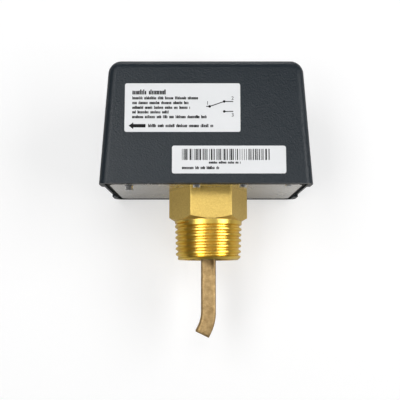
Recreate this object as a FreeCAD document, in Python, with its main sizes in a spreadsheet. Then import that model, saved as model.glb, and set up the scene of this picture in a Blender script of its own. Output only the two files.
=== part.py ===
"""Paddle flow switch: brass pipe body, steel base plate, moulded cover and the switch mechanism inside.

Lengths are in millimetres and angles in degrees. The origin is on the axis of the pipe thread, at the
shoulder where the thread meets the hexagon. +Z points up into the cover, the liquid flows towards -X,
and the front of the cover, with the two labels, looks towards -Y.
"""

import FreeCAD, Part
import Sketcher
import math
import os
import re
from FreeCAD import Placement, Rotation, Vector

# Driving sizes. Every name here becomes a cell of the spreadsheet with that alias.
SIZES = {
    # Brass body: hexagon, tapered pipe thread and the spigot that carries the base plate
    "hex_across_flats": 34.5,
    "hex_height": 15.1,
    "hex_turn": 3.6,
    "hex_chamfer_angle": 30,
    "hex_chamfer_width": 0.5,
    "thread_length": 19.4,
    "thread_diameter": 33.25,
    "thread_gauge_length": 10.4,
    "thread_taper_angle": 1.79,
    "thread_lead_in": 1.2,
    "body_bore_diameter": 25.4,
    "neck_bore_diameter": 22,
    "neck_depth": 4,
    "spigot_diameter": 27,
    "spigot_standout": 0.5,
    "collar_diameter": 24.4,
    "collar_depth": 3,
    "body_seal_width": 2.4,
    "body_seal_thickness": 1.2,
    "lock_nut_diameter": 36,
    "lock_nut_height": 4,
    "lock_nut_slot": 4,
    # Base plate and the rubber seal round its edge
    "plate_gap": 2.1,
    "plate_thickness": 1.5,
    "plate_corner_radius": 3,
    "seal_lip": 1.5,
    "seal_thickness": 1.2,
    "seal_recess": 0.7,
    "seal_clearance": 0.3,
    # Moulded cover
    "cover_width": 99.8,
    "cover_depth": 59,
    "cover_height": 59.6,
    "cover_offset": -1.4,
    "cover_draft": 3.6,
    "cover_wall": 2.5,
    "cover_edge_radius": 4.5,
    "cover_shoulder_radius": 6.5,
    "rib_width": 2.4,
    "rib_reach": 0.8,
    "side_rib_place": 14,
    "front_rib_place": 28,
    "rear_rib_place": 35,
    "rim_notch_depth": 1.25,
    "rim_notch_inset": 12,
    # Posts on the base plate and the screws that hold the cover on them
    "cover_screw_inset": 13.4,
    "cover_screw_line_inset": 15,
    "cover_screw_diameter": 4,
    "cover_screw_length": 16,
    "cover_screw_head": 7.2,
    "cover_screw_head_height": 2.4,
    "cover_screw_sink": 3,
    "cover_boss_diameter": 8,
    "post_diameter": 6,
    "cover_boss_length": 15.1,
    "post_hole_spare": 1,
    # Earth screw and wire-clip screw near the front of the base plate
    "screw_line_inset": 3.4,
    "plate_screw_inset": 7.6,
    "plate_screw_diameter": 4,
    "plate_screw_head": 7,
    "plate_screw_head_height": 2.4,
    "earth_screw_tip": 2.4,
    "clip_screw_tip": 0.3,
    "plate_nut_diameter": 7,
    "plate_nut_height": 3,
    "earth_washer_size": 7,
    "earth_washer_thickness": 1,
    "wire_clip_bore": 6,
    "wire_clip_width": 5,
    "wire_clip_thickness": 0.8,
    "wire_clip_reach": 8,
    # Crown of every pan-head screw, as a share of the head's diameter
    "screw_crown_share": 0.8,
    # Cable entry in the right-hand wall
    "entry_height": 27,
    "entry_hole_diameter": 20.5,
    "entry_bore_diameter": 10,
    "grommet_diameter": 26,
    "grommet_flange": 1.8,
    # Labels on the front wall
    "label_thickness": 0.15,
    "label_corner_radius": 1,
    "rating_label_width": 53.9,
    "rating_label_height": 23.4,
    "rating_label_side": -10.95,
    "rating_label_rise": 35.8,
    "serial_label_width": 52.65,
    "serial_label_height": 13.1,
    "serial_label_side": 10.6,
    "serial_label_rise": 10.97,
    # Steel frame that stands on the base plate and carries the mechanism
    "sheet_thickness": 1.5,
    "frame_wall_inset": 5.9,
    "frame_wall_top": 57,
    "frame_side_margin": 2,
    "frame_base_front": 10.5,
    "frame_foot_left": 12,
    "frame_foot_right": 22,
    "frame_bend_radius": 2,
    "lug_width": 14,
    "frame_screw_middle": 5.1,
    "frame_screw_spacing": 21.6,
    "frame_screw_diameter": 4,
    "frame_screw_head": 6,
    "frame_screw_head_height": 2.2,
    "frame_screw_tip": 1,
    # Pivot of the arm
    "pivot_rise": 6.4,
    "pin_diameter": 4,
    "pin_clearance": 0.05,
    "clip_diameter": 8,
    "clip_thickness": 0.8,
    # Arm: head, round neck and the flat bar that ends in a bend
    "arm_head_width": 12,
    "arm_head_height": 9,
    "arm_neck_diameter": 8,
    "arm_bar_top": 3,
    "arm_thickness": 7.4,
    "arm_width": 11,
    "arm_edge_radius": 1.5,
    "arm_reach": 38.7,
    "arm_bend_radius": 20,
    "arm_bend_angle": 26,
    "arm_end_length": 2.6,
    "paddle_hole_diameter": 3.3,
    "paddle_hole_rise": 17,
    # Bellows that seals the arm's neck inside the body
    "bellows_outer_diameter": 18,
    "bellows_inner_diameter": 13,
    "bellows_length": 17,
    "bellows_flange": 0.8,
    "bellows_ring_diameter": 15,
    "bellows_ring_height": 3,
    # Lever on the arm's head
    "lever_width": 10,
    "lever_end": 6,
    "lever_corner_radius": 3.3,
    "plunger_arm": 12,
    "lever_screw_diameter": 3,
    "lever_screw_place": 4.2,
    "lever_screw_head": 5.4,
    "lever_screw_head_height": 1.8,
    "lever_screw_depth": 6,
    # Snap-action switch
    "switch_length": 49.2,
    "switch_depth": 17.45,
    "switch_height": 16,
    "switch_inset": 8.35,
    "switch_edge_radius": 1,
    "switch_hole_spacing": 25.4,
    "switch_hole_rise": 8,
    "switch_hole_diameter": 4.2,
    "plunger_diameter": 4,
    "plunger_standout": 2.5,
    "plunger_gap": 0.3,
    "plunger_depth": 5,
    "terminal_spacing": 19,
    "terminal_size": 9,
    "terminal_thickness": 1,
    "terminal_screw_diameter": 3.5,
    "terminal_screw_head": 6.2,
    "terminal_screw_head_height": 2.4,
    "terminal_screw_depth": 6,
    "barrier_height": 5,
    "barrier_width": 1.5,
    "switch_screw_diameter": 4,
    "switch_screw_head": 7,
    "switch_screw_head_height": 2.4,
    "switch_nut_across_flats": 7,
    "switch_nut_height": 2.2,
    # Range spring with its adjusting screw
    "tab_rise": 4.5,
    "tab_reach": 7,
    "range_screw_diameter": 5,
    "range_screw_head": 9,
    "range_screw_head_height": 2.5,
    "range_screw_slot": 1.2,
    "range_screw_length": 20,
    "range_gap": 7.5,
    "range_nut_width": 12,
    "range_nut_height": 4,
    "range_nut_edge_radius": 1,
    "range_nut_drop": 4,
    "spring_mean_diameter": 9.6,
    "spring_wire_diameter": 1.2,
    "seat_diameter": 12,
    "seat_height": 1,
    "seat_boss_diameter": 7,
    "seat_boss_top_diameter": 6,
    "seat_boss_height": 1.5,
}

doc = FreeCAD.newDocument("PaddleFlowSwitch")
sheet = doc.addObject("Spreadsheet::Sheet", "Sizes")
for row, (size_name, size_value) in enumerate(SIZES.items(), start=1):
    sheet.set(f"A{row}", size_name)
    sheet.set(f"B{row}", str(size_value))
    sheet.setAlias(f"B{row}", size_name)
doc.recompute()

# Heights and places that several pieces share, as formulas of the sizes
PLATE_WIDTH = "(cover_width - 2 * cover_wall - 2 * plate_gap)"
PLATE_DEPTH = "(cover_depth - 2 * cover_wall - 2 * plate_gap)"
PLATE_TOP = "(hex_height + plate_thickness)"
SEAL_TOP = f"({PLATE_TOP} + seal_thickness)"
FRAME_TOP = f"({PLATE_TOP} + sheet_thickness)"
NUT_TOP = f"({FRAME_TOP} + lock_nut_height)"
SPIGOT_TOP = f"({NUT_TOP} + spigot_standout)"
COLLAR_BOTTOM = f"({SPIGOT_TOP} - collar_depth)"
NECK_BOTTOM = f"({COLLAR_BOTTOM} - neck_depth - lock_nut_height)"
BELLOWS_BOTTOM = f"({COLLAR_BOTTOM} - bellows_length)"
PIVOT = f"({SPIGOT_TOP} + pivot_rise)"
HEAD_BOTTOM = f"({PIVOT} - arm_head_height / 2)"
HEAD_TOP = f"({PIVOT} + arm_head_height / 2)"
LEVER_TOP = f"({HEAD_TOP} + sheet_thickness)"
SWITCH_BOTTOM = f"({LEVER_TOP} + plunger_gap + plunger_standout)"
SWITCH_TOP = f"({SWITCH_BOTTOM} + switch_height)"
SWITCH_HOLES = f"({SWITCH_BOTTOM} + switch_hole_rise)"
SWITCH_RIGHT = f"(cover_offset + {PLATE_WIDTH} / 2 + plate_gap - switch_inset)"
SWITCH_MIDDLE = f"({SWITCH_RIGHT} - switch_length / 2)"
SPRING_ARM = f"(range_nut_width / 2 + range_gap + switch_length - {SWITCH_RIGHT})"
FRAME_WALL = f"({PLATE_DEPTH} / 2 - frame_wall_inset)"
FRAME_LEFT = f"({SPRING_ARM} + range_nut_width / 2 + frame_side_margin)"
FRAME_RIGHT = f"({SWITCH_RIGHT} + seal_clearance)"
TAB_TOP = "(frame_wall_top + tab_rise)"
TAB_BOTTOM = f"({TAB_TOP} - sheet_thickness)"
RANGE_NUT_TOP = f"({TAB_BOTTOM} - range_nut_drop)"
RANGE_NUT_BOTTOM = f"({RANGE_NUT_TOP} - range_nut_height)"
SEAT_TOP = f"({LEVER_TOP} + seat_height)"
WALL_BACK = f"({FRAME_WALL} + sheet_thickness)"
SWITCH_LINE = f"({FRAME_WALL} - switch_depth / 2)"
SWITCH_FRONT = f"({FRAME_WALL} - switch_depth)"
COVER_TOP = "(hex_height + cover_height)"
THREAD_END = "(0 - thread_length)"
ARM_END = "(0 - thread_length - arm_reach)"
SCREW_LINE = f"(screw_line_inset - {PLATE_DEPTH} / 2)"
COVER_SCREW_LINE = "(cover_screw_line_inset - cover_depth / 2)"
FRAME_FRONT = f"({PLATE_DEPTH} / 2 - seal_lip - seal_clearance)"
PLATE_NUT_TOP = f"({PLATE_TOP} + plate_nut_height)"
POST_TOP = f"({COVER_TOP} - cover_boss_length)"

UP = Rotation()
ALONG_X = Rotation(Vector(0, 1, 0), 90)
ALONG_Y = Rotation(Vector(1, 0, 0), -90)
DOWN = Rotation(Vector(1, 0, 0), 180)


def sized(formula):
    """A formula with the sheet's name before each size."""
    words = lambda found: f"Sizes.{found[0]}" if found[0] in SIZES else found[0]
    return re.sub(r"[a-z_]+", words, str(formula))


def number(formula):
    """The value of a formula, for the few places that take no expression."""
    return float(sheet.evalExpression(sized(formula)))


def place(piece, x=0, y=0, z=0, turn=UP):
    """Bind a piece's position to formulas, after setting its direction."""
    piece.Placement = Placement(Vector(), turn)
    for axis, formula in zip("xyz", (x, y, z)):
        piece.setExpression(f"Placement.Base.{axis}", sized(formula))
    return piece


def primitive(kind, bindings, x, y, z, turn):
    """A Part primitive with its sizes and its place bound to formulas."""
    piece = doc.addObject(f"Part::{kind}", kind)
    for property_name, formula in bindings.items():
        piece.setExpression(property_name, sized(formula))
    return place(piece, x, y, z, turn)


def box(x, y, z, length, width, height):
    """A box from its lowest corner."""
    return primitive("Box", {"Length": length, "Width": width, "Height": height}, x, y, z, UP)


def rod(diameter, length, x=0, y=0, z=0, turn=UP):
    """A cylinder that starts at the given point."""
    bindings = {"Radius": f"({diameter}) / 2", "Height": length}
    return primitive("Cylinder", bindings, x, y, z, turn)


def cone(start_diameter, end_diameter, length, x=0, y=0, z=0, turn=UP):
    """A cone or taper that starts at the given point."""
    bindings = {"Radius1": f"({start_diameter}) / 2", "Radius2": f"({end_diameter}) / 2", "Height": length}
    return primitive("Cone", bindings, x, y, z, turn)


def hexagon(across_flats, height, x=0, y=0, z=0, turn=UP):
    """A hexagonal bar that starts at the given point."""
    piece = primitive("Prism", {"Height": height}, x, y, z, turn)
    piece.Polygon = 6
    piece.setExpression("Circumradius", sized(f"({across_flats}) / sqrt(3)"))
    return piece


def fuse(pieces):
    """One solid from pieces that overlap or touch."""
    joined = doc.addObject("Part::MultiFuse", "Fuse")
    joined.Shapes = pieces
    joined.Refine = True
    return joined


def cut(base, tools):
    """The base without its tools."""
    remainder = doc.addObject("Part::Cut", "Cut")
    remainder.Base = base
    remainder.Tool = tools[0] if len(tools) == 1 else fuse(tools)
    remainder.Refine = True
    return remainder


def common(base, tool):
    """What two pieces share."""
    shared = doc.addObject("Part::Common", "Common")
    shared.Base = base
    shared.Tool = tool
    return shared


def group(pieces):
    """Separate solids that share one node."""
    together = doc.addObject("Part::Compound", "Group")
    together.Links = pieces
    return together


def rounded(piece, radius_of, wanted):
    """Round the edges for which wanted(edge) is true; the radius is a formula, or one for each edge."""
    doc.recompute()
    fillet = doc.addObject("Part::Fillet", "Fillet")
    fillet.Base = piece
    choices = []
    for index, edge in enumerate(piece.Shape.Edges, start=1):
        if wanted(edge):
            radius = number(radius_of(edge) if callable(radius_of) else radius_of)
            choices.append((index, radius, radius))
    fillet.Edges = choices
    return fillet


def upright(edge):
    """True for a straight edge along Z."""
    direction = edge.Vertexes[-1].Point - edge.Vertexes[0].Point
    return math.hypot(direction.x, direction.y) < 1e-6


def named(label, piece):
    """Give a finished sub-part its name."""
    piece.Label = label
    return piece


def rectangle(body, width, depth):
    """A sketch on the body's XY plane: a rectangle centred on its origin."""
    sketch = body.newObject("Sketcher::SketchObject", "Outline")
    plane = next(item for item in body.Origin.OriginFeatures if item.Role == "XY_Plane")
    sketch.AttachmentSupport = [(plane, "")]
    sketch.MapMode = "FlatFace"
    half_width = number(width) / 2
    half_depth = number(depth) / 2
    corners = [
        Vector(-half_width, -half_depth, 0),
        Vector(half_width, -half_depth, 0),
        Vector(half_width, half_depth, 0),
        Vector(-half_width, half_depth, 0),
    ]
    for index, corner in enumerate(corners):
        sketch.addGeometry(Part.LineSegment(corner, corners[(index + 1) % 4]), False)
    for index in range(4):
        sketch.addConstraint(Sketcher.Constraint("Coincident", index, 2, (index + 1) % 4, 1))
        sketch.addConstraint(Sketcher.Constraint("Vertical" if index % 2 else "Horizontal", index))
    sketch.addConstraint(Sketcher.Constraint("Symmetric", 0, 1, 2, 1, -1, 1))
    for name, line, formula in (("Width", 0, width), ("Depth", 1, depth)):
        index = sketch.addConstraint(Sketcher.Constraint("Distance", line, number(formula)))
        sketch.renameConstraint(index, name)
        sketch.setExpression(f"Constraints.{name}", sized(formula))
    return sketch


def drafted_block(width, depth, height):
    """A moulded block that narrows upwards by the draft."""
    lean = f"({height}) * tan(cover_draft)"
    bindings = {
        "Xmin": f"0 - ({width}) / 2",
        "Xmax": f"({width}) / 2",
        "Ymin": "0",
        "Ymax": height,
        "Zmin": f"0 - ({depth}) / 2",
        "Zmax": f"({depth}) / 2",
        "X2min": f"{lean} - ({width}) / 2",
        "X2max": f"({width}) / 2 - {lean}",
        "Z2min": f"{lean} - ({depth}) / 2",
        "Z2max": f"({depth}) / 2 - {lean}",
    }
    return primitive("Wedge", bindings, "cover_offset", 0, "hex_height", Rotation(Vector(1, 0, 0), 90))


def pan_screw(shank, length, head, head_height, x, y, z, turn, opposite):
    """A screw from the seat of its head: shank along the turn, domed head the other way."""
    shank_rod = rod(shank, length, x, y, z, turn)
    head_rod = cone(head, f"{head} * screw_crown_share", head_height, x, y, z, opposite)
    return fuse([shank_rod, head_rod])


def hex_body():
    """Brass body: hexagon, tapered pipe thread below it, spigot above it and the bore for the arm."""
    bar = hexagon("hex_across_flats", "hex_height")
    bar.setExpression("Placement.Rotation.Angle", sized("hex_turn"))
    chamfer_start = "(hex_across_flats - 2 * hex_chamfer_width)"
    rise = "(hex_height / tan(hex_chamfer_angle))"
    chamfer = cone(chamfer_start, f"{chamfer_start} + 2 * {rise}", "hex_height")
    narrowing = "2 * tan(thread_taper_angle)"
    small_end = f"(thread_diameter - thread_gauge_length * {narrowing})"
    large_end = f"({small_end} + thread_length * {narrowing})"
    lead_end = f"({small_end} + thread_lead_in * {narrowing})"
    thread = cone(lead_end, large_end, "thread_length - thread_lead_in", z=f"{THREAD_END} + thread_lead_in")
    lead_in = cone(f"{lead_end} - 2 * thread_lead_in", lead_end, "thread_lead_in", z=THREAD_END)
    spigot = rod("spigot_diameter", SPIGOT_TOP)
    solid = fuse([common(bar, chamfer), thread, lead_in, spigot])
    bore = rod("body_bore_diameter", f"{NECK_BOTTOM} + thread_length", z=THREAD_END)
    neck = rod("neck_bore_diameter", f"{COLLAR_BOTTOM} - {NECK_BOTTOM}", z=NECK_BOTTOM)
    collar_seat = rod("collar_diameter", "collar_depth", z=COLLAR_BOTTOM)
    seal_outer = rod("spigot_diameter + 2 * body_seal_width", "body_seal_thickness",
                     z="hex_height - body_seal_thickness")
    seal_inner = rod("spigot_diameter", "body_seal_thickness", z="hex_height - body_seal_thickness")
    seal_groove = cut(seal_outer, [seal_inner])
    return named("hex_body", cut(solid, [bore, neck, collar_seat, seal_groove]))


def body_seal():
    """Flat rubber ring in the groove round the spigot, under the base plate."""
    outer = rod("spigot_diameter + 2 * body_seal_width", "body_seal_thickness",
                z="hex_height - body_seal_thickness")
    inner = rod("spigot_diameter", "body_seal_thickness", z="hex_height - body_seal_thickness")
    return named("body_seal", cut(outer, [inner]))


def lock_nut():
    """Round nut with four spanner slots, which clamps the frame and the base plate on the body."""
    ring = rod("lock_nut_diameter", "lock_nut_height", z=FRAME_TOP)
    hole = rod("spigot_diameter", "lock_nut_height", z=FRAME_TOP)
    slot_depth = "(lock_nut_diameter - spigot_diameter) / 4"
    across = box("0 - lock_nut_diameter / 2", "0 - lock_nut_slot / 2", FRAME_TOP,
                 "lock_nut_diameter", "lock_nut_slot", "lock_nut_height")
    along = box("0 - lock_nut_slot / 2", "0 - lock_nut_diameter / 2", FRAME_TOP,
                "lock_nut_slot", "lock_nut_diameter", "lock_nut_height")
    core = rod(f"lock_nut_diameter - 2 * {slot_depth}", "lock_nut_height", z=FRAME_TOP)
    slots = cut(fuse([across, along]), [core])
    return named("lock_nut", cut(ring, [hole, slots]))


def plate_outline(grow, z, thickness):
    """A rounded rectangle centred under the cover, larger than the base plate by grow on every side."""
    block = box(f"cover_offset - {PLATE_WIDTH} / 2 - {grow}", f"0 - {PLATE_DEPTH} / 2 - {grow}", z,
                f"{PLATE_WIDTH} + 2 * {grow}", f"{PLATE_DEPTH} + 2 * {grow}", thickness)
    return rounded(block, "plate_corner_radius", upright)


def base_plate():
    """Steel plate that closes the cover from below."""
    plate = plate_outline("0", "hex_height", "plate_thickness")
    tools = [rod("spigot_diameter", "plate_thickness", z="hex_height")]
    for x in plate_screw_places():
        tools.append(rod("plate_screw_diameter", "plate_thickness", x, SCREW_LINE, "hex_height"))
    for x in frame_screw_places():
        tools.append(rod("frame_screw_diameter", "plate_thickness", x, SCREW_LINE, "hex_height"))
    return named("base_plate", cut(plate, tools))


def cover_screw_places():
    """X of the two cover screws and their posts."""
    return [f"cover_offset {sign} (cover_width / 2 - cover_screw_inset)" for sign in "-+"]


def plate_screw_places():
    """X of the earth screw on the left and the clip screw on the right."""
    place_from_axis = f"({PLATE_WIDTH} / 2 - plate_screw_inset)"
    return [f"0 - {place_from_axis}", place_from_axis]


def frame_screw_places():
    """X of the two frame screws."""
    return [f"frame_screw_middle {sign} frame_screw_spacing / 2" for sign in "-+"]


def switch_screw_places():
    """X of the two switch screws."""
    return [f"{SWITCH_MIDDLE} {sign} switch_hole_spacing / 2" for sign in "-+"]


def plate_nuts():
    """Two round nuts pressed on the base plate, for the earth screw and the clip screw."""
    nuts = []
    for x in plate_screw_places():
        ring = rod("plate_nut_diameter", "plate_nut_height", x, SCREW_LINE, PLATE_TOP)
        hole = rod("plate_screw_diameter", "plate_nut_height", x, SCREW_LINE, PLATE_TOP)
        nuts.append(cut(ring, [hole]))
    return named("plate_nuts", group(nuts))


def plate_screw(label, x, washer_thickness, tip):
    """A screw through a pressed nut and the base plate, with its tip below the plate."""
    seat = f"({PLATE_NUT_TOP} + {washer_thickness})"
    screw = pan_screw("plate_screw_diameter", f"{seat} - hex_height + {tip}", "plate_screw_head",
                      "plate_screw_head_height", x, SCREW_LINE, seat, DOWN, UP)
    return named(label, screw)


def earth_washer():
    """Square washer that clamps the earth wire."""
    x = plate_screw_places()[0]
    plate = box(f"{x} - earth_washer_size / 2", f"{SCREW_LINE} - earth_washer_size / 2",
                PLATE_NUT_TOP, "earth_washer_size", "earth_washer_size", "earth_washer_thickness")
    hole = rod("plate_screw_diameter", "earth_washer_thickness", x, SCREW_LINE, PLATE_NUT_TOP)
    return named("earth_washer", cut(plate, [hole]))


def wire_clip():
    """Bent clip for the wires: a flat tab under its screw and a loop beside it."""
    x = plate_screw_places()[1]
    low = f"({SCREW_LINE} - wire_clip_width / 2)"
    loop_x = f"({x} - wire_clip_reach)"
    loop_z = f"({PLATE_NUT_TOP} + wire_clip_thickness + wire_clip_bore / 2)"
    outer = "(wire_clip_bore + 2 * wire_clip_thickness)"
    loop = rod(outer, "wire_clip_width", loop_x, low, loop_z, ALONG_Y)
    tab = box(loop_x, low, PLATE_NUT_TOP, "wire_clip_reach + plate_screw_head / 2", "wire_clip_width",
              "wire_clip_thickness")
    hole = rod("wire_clip_bore", "wire_clip_width", loop_x, low, loop_z, ALONG_Y)
    screw_hole = rod("plate_screw_diameter", "wire_clip_thickness", x, SCREW_LINE, PLATE_NUT_TOP)
    return named("wire_clip", cut(fuse([loop, tab]), [hole, screw_hole]))


def cover_posts():
    """Two round posts riveted on the base plate, tapped on top for the cover screws."""
    posts = []
    for x in cover_screw_places():
        post = rod("post_diameter", f"{POST_TOP} - {PLATE_TOP}", x, COVER_SCREW_LINE, PLATE_TOP)
        reach = f"(cover_screw_length - {COVER_TOP} + cover_screw_sink + {POST_TOP} + post_hole_spare)"
        hole = rod("cover_screw_diameter + 2 * pin_clearance", reach, x, COVER_SCREW_LINE,
                   f"{POST_TOP} - {reach}")
        posts.append(cut(post, [hole]))
    return named("cover_posts", group(posts))


def cover_gasket():
    """Rubber ring round the plate's edge, with a lip over the plate's top."""
    gap = "(plate_gap - seal_clearance)"
    low = "(hex_height + seal_recess)"
    ring = plate_outline(gap, low, f"{SEAL_TOP} - {low}")
    window = box(f"cover_offset - {PLATE_WIDTH} / 2 + seal_lip", f"0 - {PLATE_DEPTH} / 2 + seal_lip", low,
                 f"{PLATE_WIDTH} - 2 * seal_lip", f"{PLATE_DEPTH} - 2 * seal_lip", f"{SEAL_TOP} - {low}")
    seat = plate_outline("0", low, f"{PLATE_TOP} - {low}")
    reliefs = []
    for x in plate_screw_places():
        width = "(plate_nut_diameter + 2 * seal_clearance)"
        reliefs.append(rod(width, f"{SEAL_TOP} - {low}", x, SCREW_LINE, low))
    return named("cover_gasket", cut(ring, [window, seat, *reliefs]))


def cover_ribs():
    """Ribs inside the cover whose lower ends press the seal's lip on the plate."""
    height = f"({COVER_TOP} - {SEAL_TOP})"
    side_face = f"({PLATE_WIDTH} / 2 - rib_reach)"
    depth_face = f"({PLATE_DEPTH} / 2 - rib_reach)"
    beyond = "(cover_width / 2)"
    ribs = []
    side_length = f"{beyond} - {side_face}"
    depth_length = f"cover_depth / 2 - {depth_face}"
    for sign in "-+":
        y = f"0 {sign} side_rib_place - rib_width / 2"
        ribs.append(box(f"cover_offset - {beyond}", y, SEAL_TOP, side_length, "rib_width", height))
        ribs.append(box(f"cover_offset + {side_face}", y, SEAL_TOP, side_length, "rib_width", height))
        x = f"cover_offset {sign} front_rib_place - rib_width / 2"
        ribs.append(box(x, "0 - cover_depth / 2", SEAL_TOP, "rib_width", depth_length, height))
        x = f"cover_offset {sign} rear_rib_place - rib_width / 2"
        ribs.append(box(x, depth_face, SEAL_TOP, "rib_width", depth_length, height))
    return ribs


def entry_turn():
    """The outward direction of the right-hand wall, which leans back by the draft."""
    return Rotation(Vector(0, 1, 0), 90 - number("cover_draft"))


def entry_point(outward):
    """X and Z of a point on the cable entry's axis, that far outside the wall."""
    x = f"cover_offset + cover_width / 2 - entry_height * tan(cover_draft) + ({outward}) * cos(cover_draft)"
    z = f"hex_height + entry_height + ({outward}) * sin(cover_draft)"
    return x, z


def entry_rod(diameter, start, end):
    """A cylinder on the cable entry's axis, between two distances outside the wall."""
    x, z = entry_point(start)
    piece = rod(diameter, f"({end}) - ({start})", x, 0, z, entry_turn())
    piece.setExpression("Placement.Rotation.Angle", sized("90 - cover_draft"))
    return piece


def stands_above_rim(edge):
    """True for every edge of the cover that reaches above its rim."""
    return edge.BoundBox.ZMax > number("hex_height + cover_height / 2")


def is_shoulder(edge):
    """True for the two upper edges that run from front to rear, and false for the rim's."""
    return stands_above_rim(edge) and edge.BoundBox.YMax - edge.BoundBox.YMin > number("cover_depth / 2")


def bounds_hollow(edge):
    """True for the four corner edges between the walls and for the two shoulders."""
    height = edge.BoundBox.ZMax - edge.BoundBox.ZMin
    return is_shoulder(edge) or height > number("cover_height / 2")


def outer_radius(edge):
    """The cover's shoulders are rounder than its other edges."""
    return "cover_shoulder_radius" if is_shoulder(edge) else "cover_edge_radius"


def inner_radius(edge):
    """The hollow's radius, which keeps the wall's thickness round the edge."""
    return f"{outer_radius(edge)} - cover_wall"


def cover():
    """Moulded cover: drafted shell, screw bosses, ribs on the seal and the cable entry."""
    block = drafted_block("cover_width", "cover_depth", "cover_height")
    outside = rounded(block, outer_radius, stands_above_rim)
    core = drafted_block("cover_width - 2 * cover_wall", "cover_depth - 2 * cover_wall",
                         "(cover_height - cover_wall)")
    cavity = rounded(core, inner_radius, bounds_hollow)
    boss_root = "cover_boss_diameter + cover_screw_head - cover_screw_diameter"
    bosses = [
        cone("cover_boss_diameter", boss_root, f"{COVER_TOP} - {POST_TOP}", x, COVER_SCREW_LINE, POST_TOP)
        for x in cover_screw_places()
    ]
    hollow = cut(cavity, [*bosses, *cover_ribs()])
    tools = [hollow, entry_rod("entry_hole_diameter", "0 - 2 * cover_wall", "cover_wall")]
    for x in cover_screw_places():
        tools.append(rod("cover_screw_diameter + 4 * pin_clearance", f"{COVER_TOP} - {POST_TOP}", x,
                         COVER_SCREW_LINE, POST_TOP))
        tools.append(rod("cover_screw_head + 4 * pin_clearance", "cover_screw_sink", x, COVER_SCREW_LINE,
                         f"{COVER_TOP} - cover_screw_sink"))
    notch_length = "(cover_depth - 2 * rim_notch_inset)"
    notch_front = f"0 - {notch_length} / 2"
    for x in ("cover_offset - cover_width / 2", "cover_offset + cover_width / 2 - cover_wall"):
        tools.append(box(x, notch_front, "hex_height", "cover_wall", notch_length, "rim_notch_depth"))
    return named("cover", cut(outside, tools))


def cover_screws():
    """The two screws sunk in the cover's top, which reach into the posts."""
    seat = f"({COVER_TOP} - cover_screw_sink)"
    screws = [
        pan_screw("cover_screw_diameter", "cover_screw_length", "cover_screw_head",
                  "cover_screw_head_height", x, COVER_SCREW_LINE, seat, DOWN, UP)
        for x in cover_screw_places()
    ]
    return named("cover_screws", group(screws))


def cable_grommet():
    """Rubber grommet in the cable entry, with a flange on either side of the wall."""
    neck = entry_rod("entry_hole_diameter", "0 - cover_wall", "0")
    outer = entry_rod("grommet_diameter", "0", "grommet_flange")
    inner = entry_rod("grommet_diameter", "0 - cover_wall - grommet_flange", "0 - cover_wall")
    bore = entry_rod("entry_bore_diameter", "0 - cover_wall - grommet_flange", "grommet_flange")
    return named("cable_grommet", cut(fuse([neck, outer, inner]), [bore]))


def label(name):
    """A thin plate on the drafted front wall, with rounded corners."""
    plate = doc.addObject("Part::Box", "Plate")
    plate.setExpression("Length", sized(f"{name}_width"))
    plate.setExpression("Width", sized(f"{name}_height / cos(cover_draft)"))
    plate.setExpression("Height", sized("label_thickness"))
    corners = rounded(plate, "label_corner_radius", upright)
    low = f"({name}_rise - {name}_height / 2)"
    place(corners, f"cover_offset + {name}_side - {name}_width / 2",
          f"0 - cover_depth / 2 + {low} * tan(cover_draft)", f"hex_height + {low}",
          Rotation(Vector(1, 0, 0), 90 - number("cover_draft")))
    corners.setExpression("Placement.Rotation.Angle", sized("90 - cover_draft"))
    return named(name, corners)


def mechanism_frame():
    """Bent steel frame: base, foot and lug in front, and the wall behind that carries the switch."""
    base = box(f"0 - {FRAME_LEFT}", "0 - frame_base_front", PLATE_TOP, f"{FRAME_LEFT} + {FRAME_RIGHT}",
               f"{WALL_BACK} + frame_base_front", "sheet_thickness")
    foot = box("0 - frame_foot_left", f"0 - {FRAME_FRONT}", PLATE_TOP, "frame_foot_left + frame_foot_right",
               FRAME_FRONT, "sheet_thickness")
    wall = box(f"0 - {FRAME_LEFT}", FRAME_WALL, PLATE_TOP, f"{FRAME_LEFT} + {FRAME_RIGHT}", "sheet_thickness",
               f"frame_wall_top - {PLATE_TOP}")
    tab_width = f"(2 * ({FRAME_LEFT} - {SPRING_ARM}))"
    post = box(f"0 - {FRAME_LEFT}", FRAME_WALL, PLATE_TOP, tab_width, "sheet_thickness",
               f"{TAB_TOP} - {PLATE_TOP}")
    tab = box(f"0 - {FRAME_LEFT}", f"{SWITCH_LINE} - tab_reach", TAB_BOTTOM, tab_width,
              f"{WALL_BACK} - {SWITCH_LINE} + tab_reach", "sheet_thickness")
    lug_face = f"(0 - {FRAME_WALL})"
    lug = box("0 - lug_width / 2", f"{lug_face} - sheet_thickness", PLATE_TOP, "lug_width", "sheet_thickness",
              f"{PIVOT} - {PLATE_TOP}")
    lug_top = rod("lug_width", "sheet_thickness", 0, f"{lug_face} - sheet_thickness", PIVOT, ALONG_Y)
    sheet_metal = fuse([base, foot, wall, post, tab, lug, lug_top])
    doc.recompute()
    bends = rounded(sheet_metal, "frame_bend_radius", is_outer_bend)
    tools = [rod("spigot_diameter", "sheet_thickness", z=PLATE_TOP)]
    for x in frame_screw_places():
        tools.append(rod("frame_screw_diameter", "sheet_thickness", x, SCREW_LINE, PLATE_TOP))
        tools.append(rod("frame_screw_head + 2 * seal_clearance", "frame_screw_head_height + seal_clearance",
                         x, SCREW_LINE, FRAME_TOP))
    for x in switch_screw_places():
        tools.append(rod("switch_screw_diameter", "sheet_thickness", x, FRAME_WALL, SWITCH_HOLES, ALONG_Y))
    pin_hole_start = f"{lug_face} - sheet_thickness"
    tools.append(rod("pin_diameter", f"{WALL_BACK} - ({pin_hole_start})", 0, pin_hole_start, PIVOT, ALONG_Y))
    tools.append(rod("range_screw_diameter + 2 * pin_clearance", "sheet_thickness", f"0 - {SPRING_ARM}",
                     SWITCH_LINE, TAB_BOTTOM))
    return named("mechanism_frame", cut(bends, tools))


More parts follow.
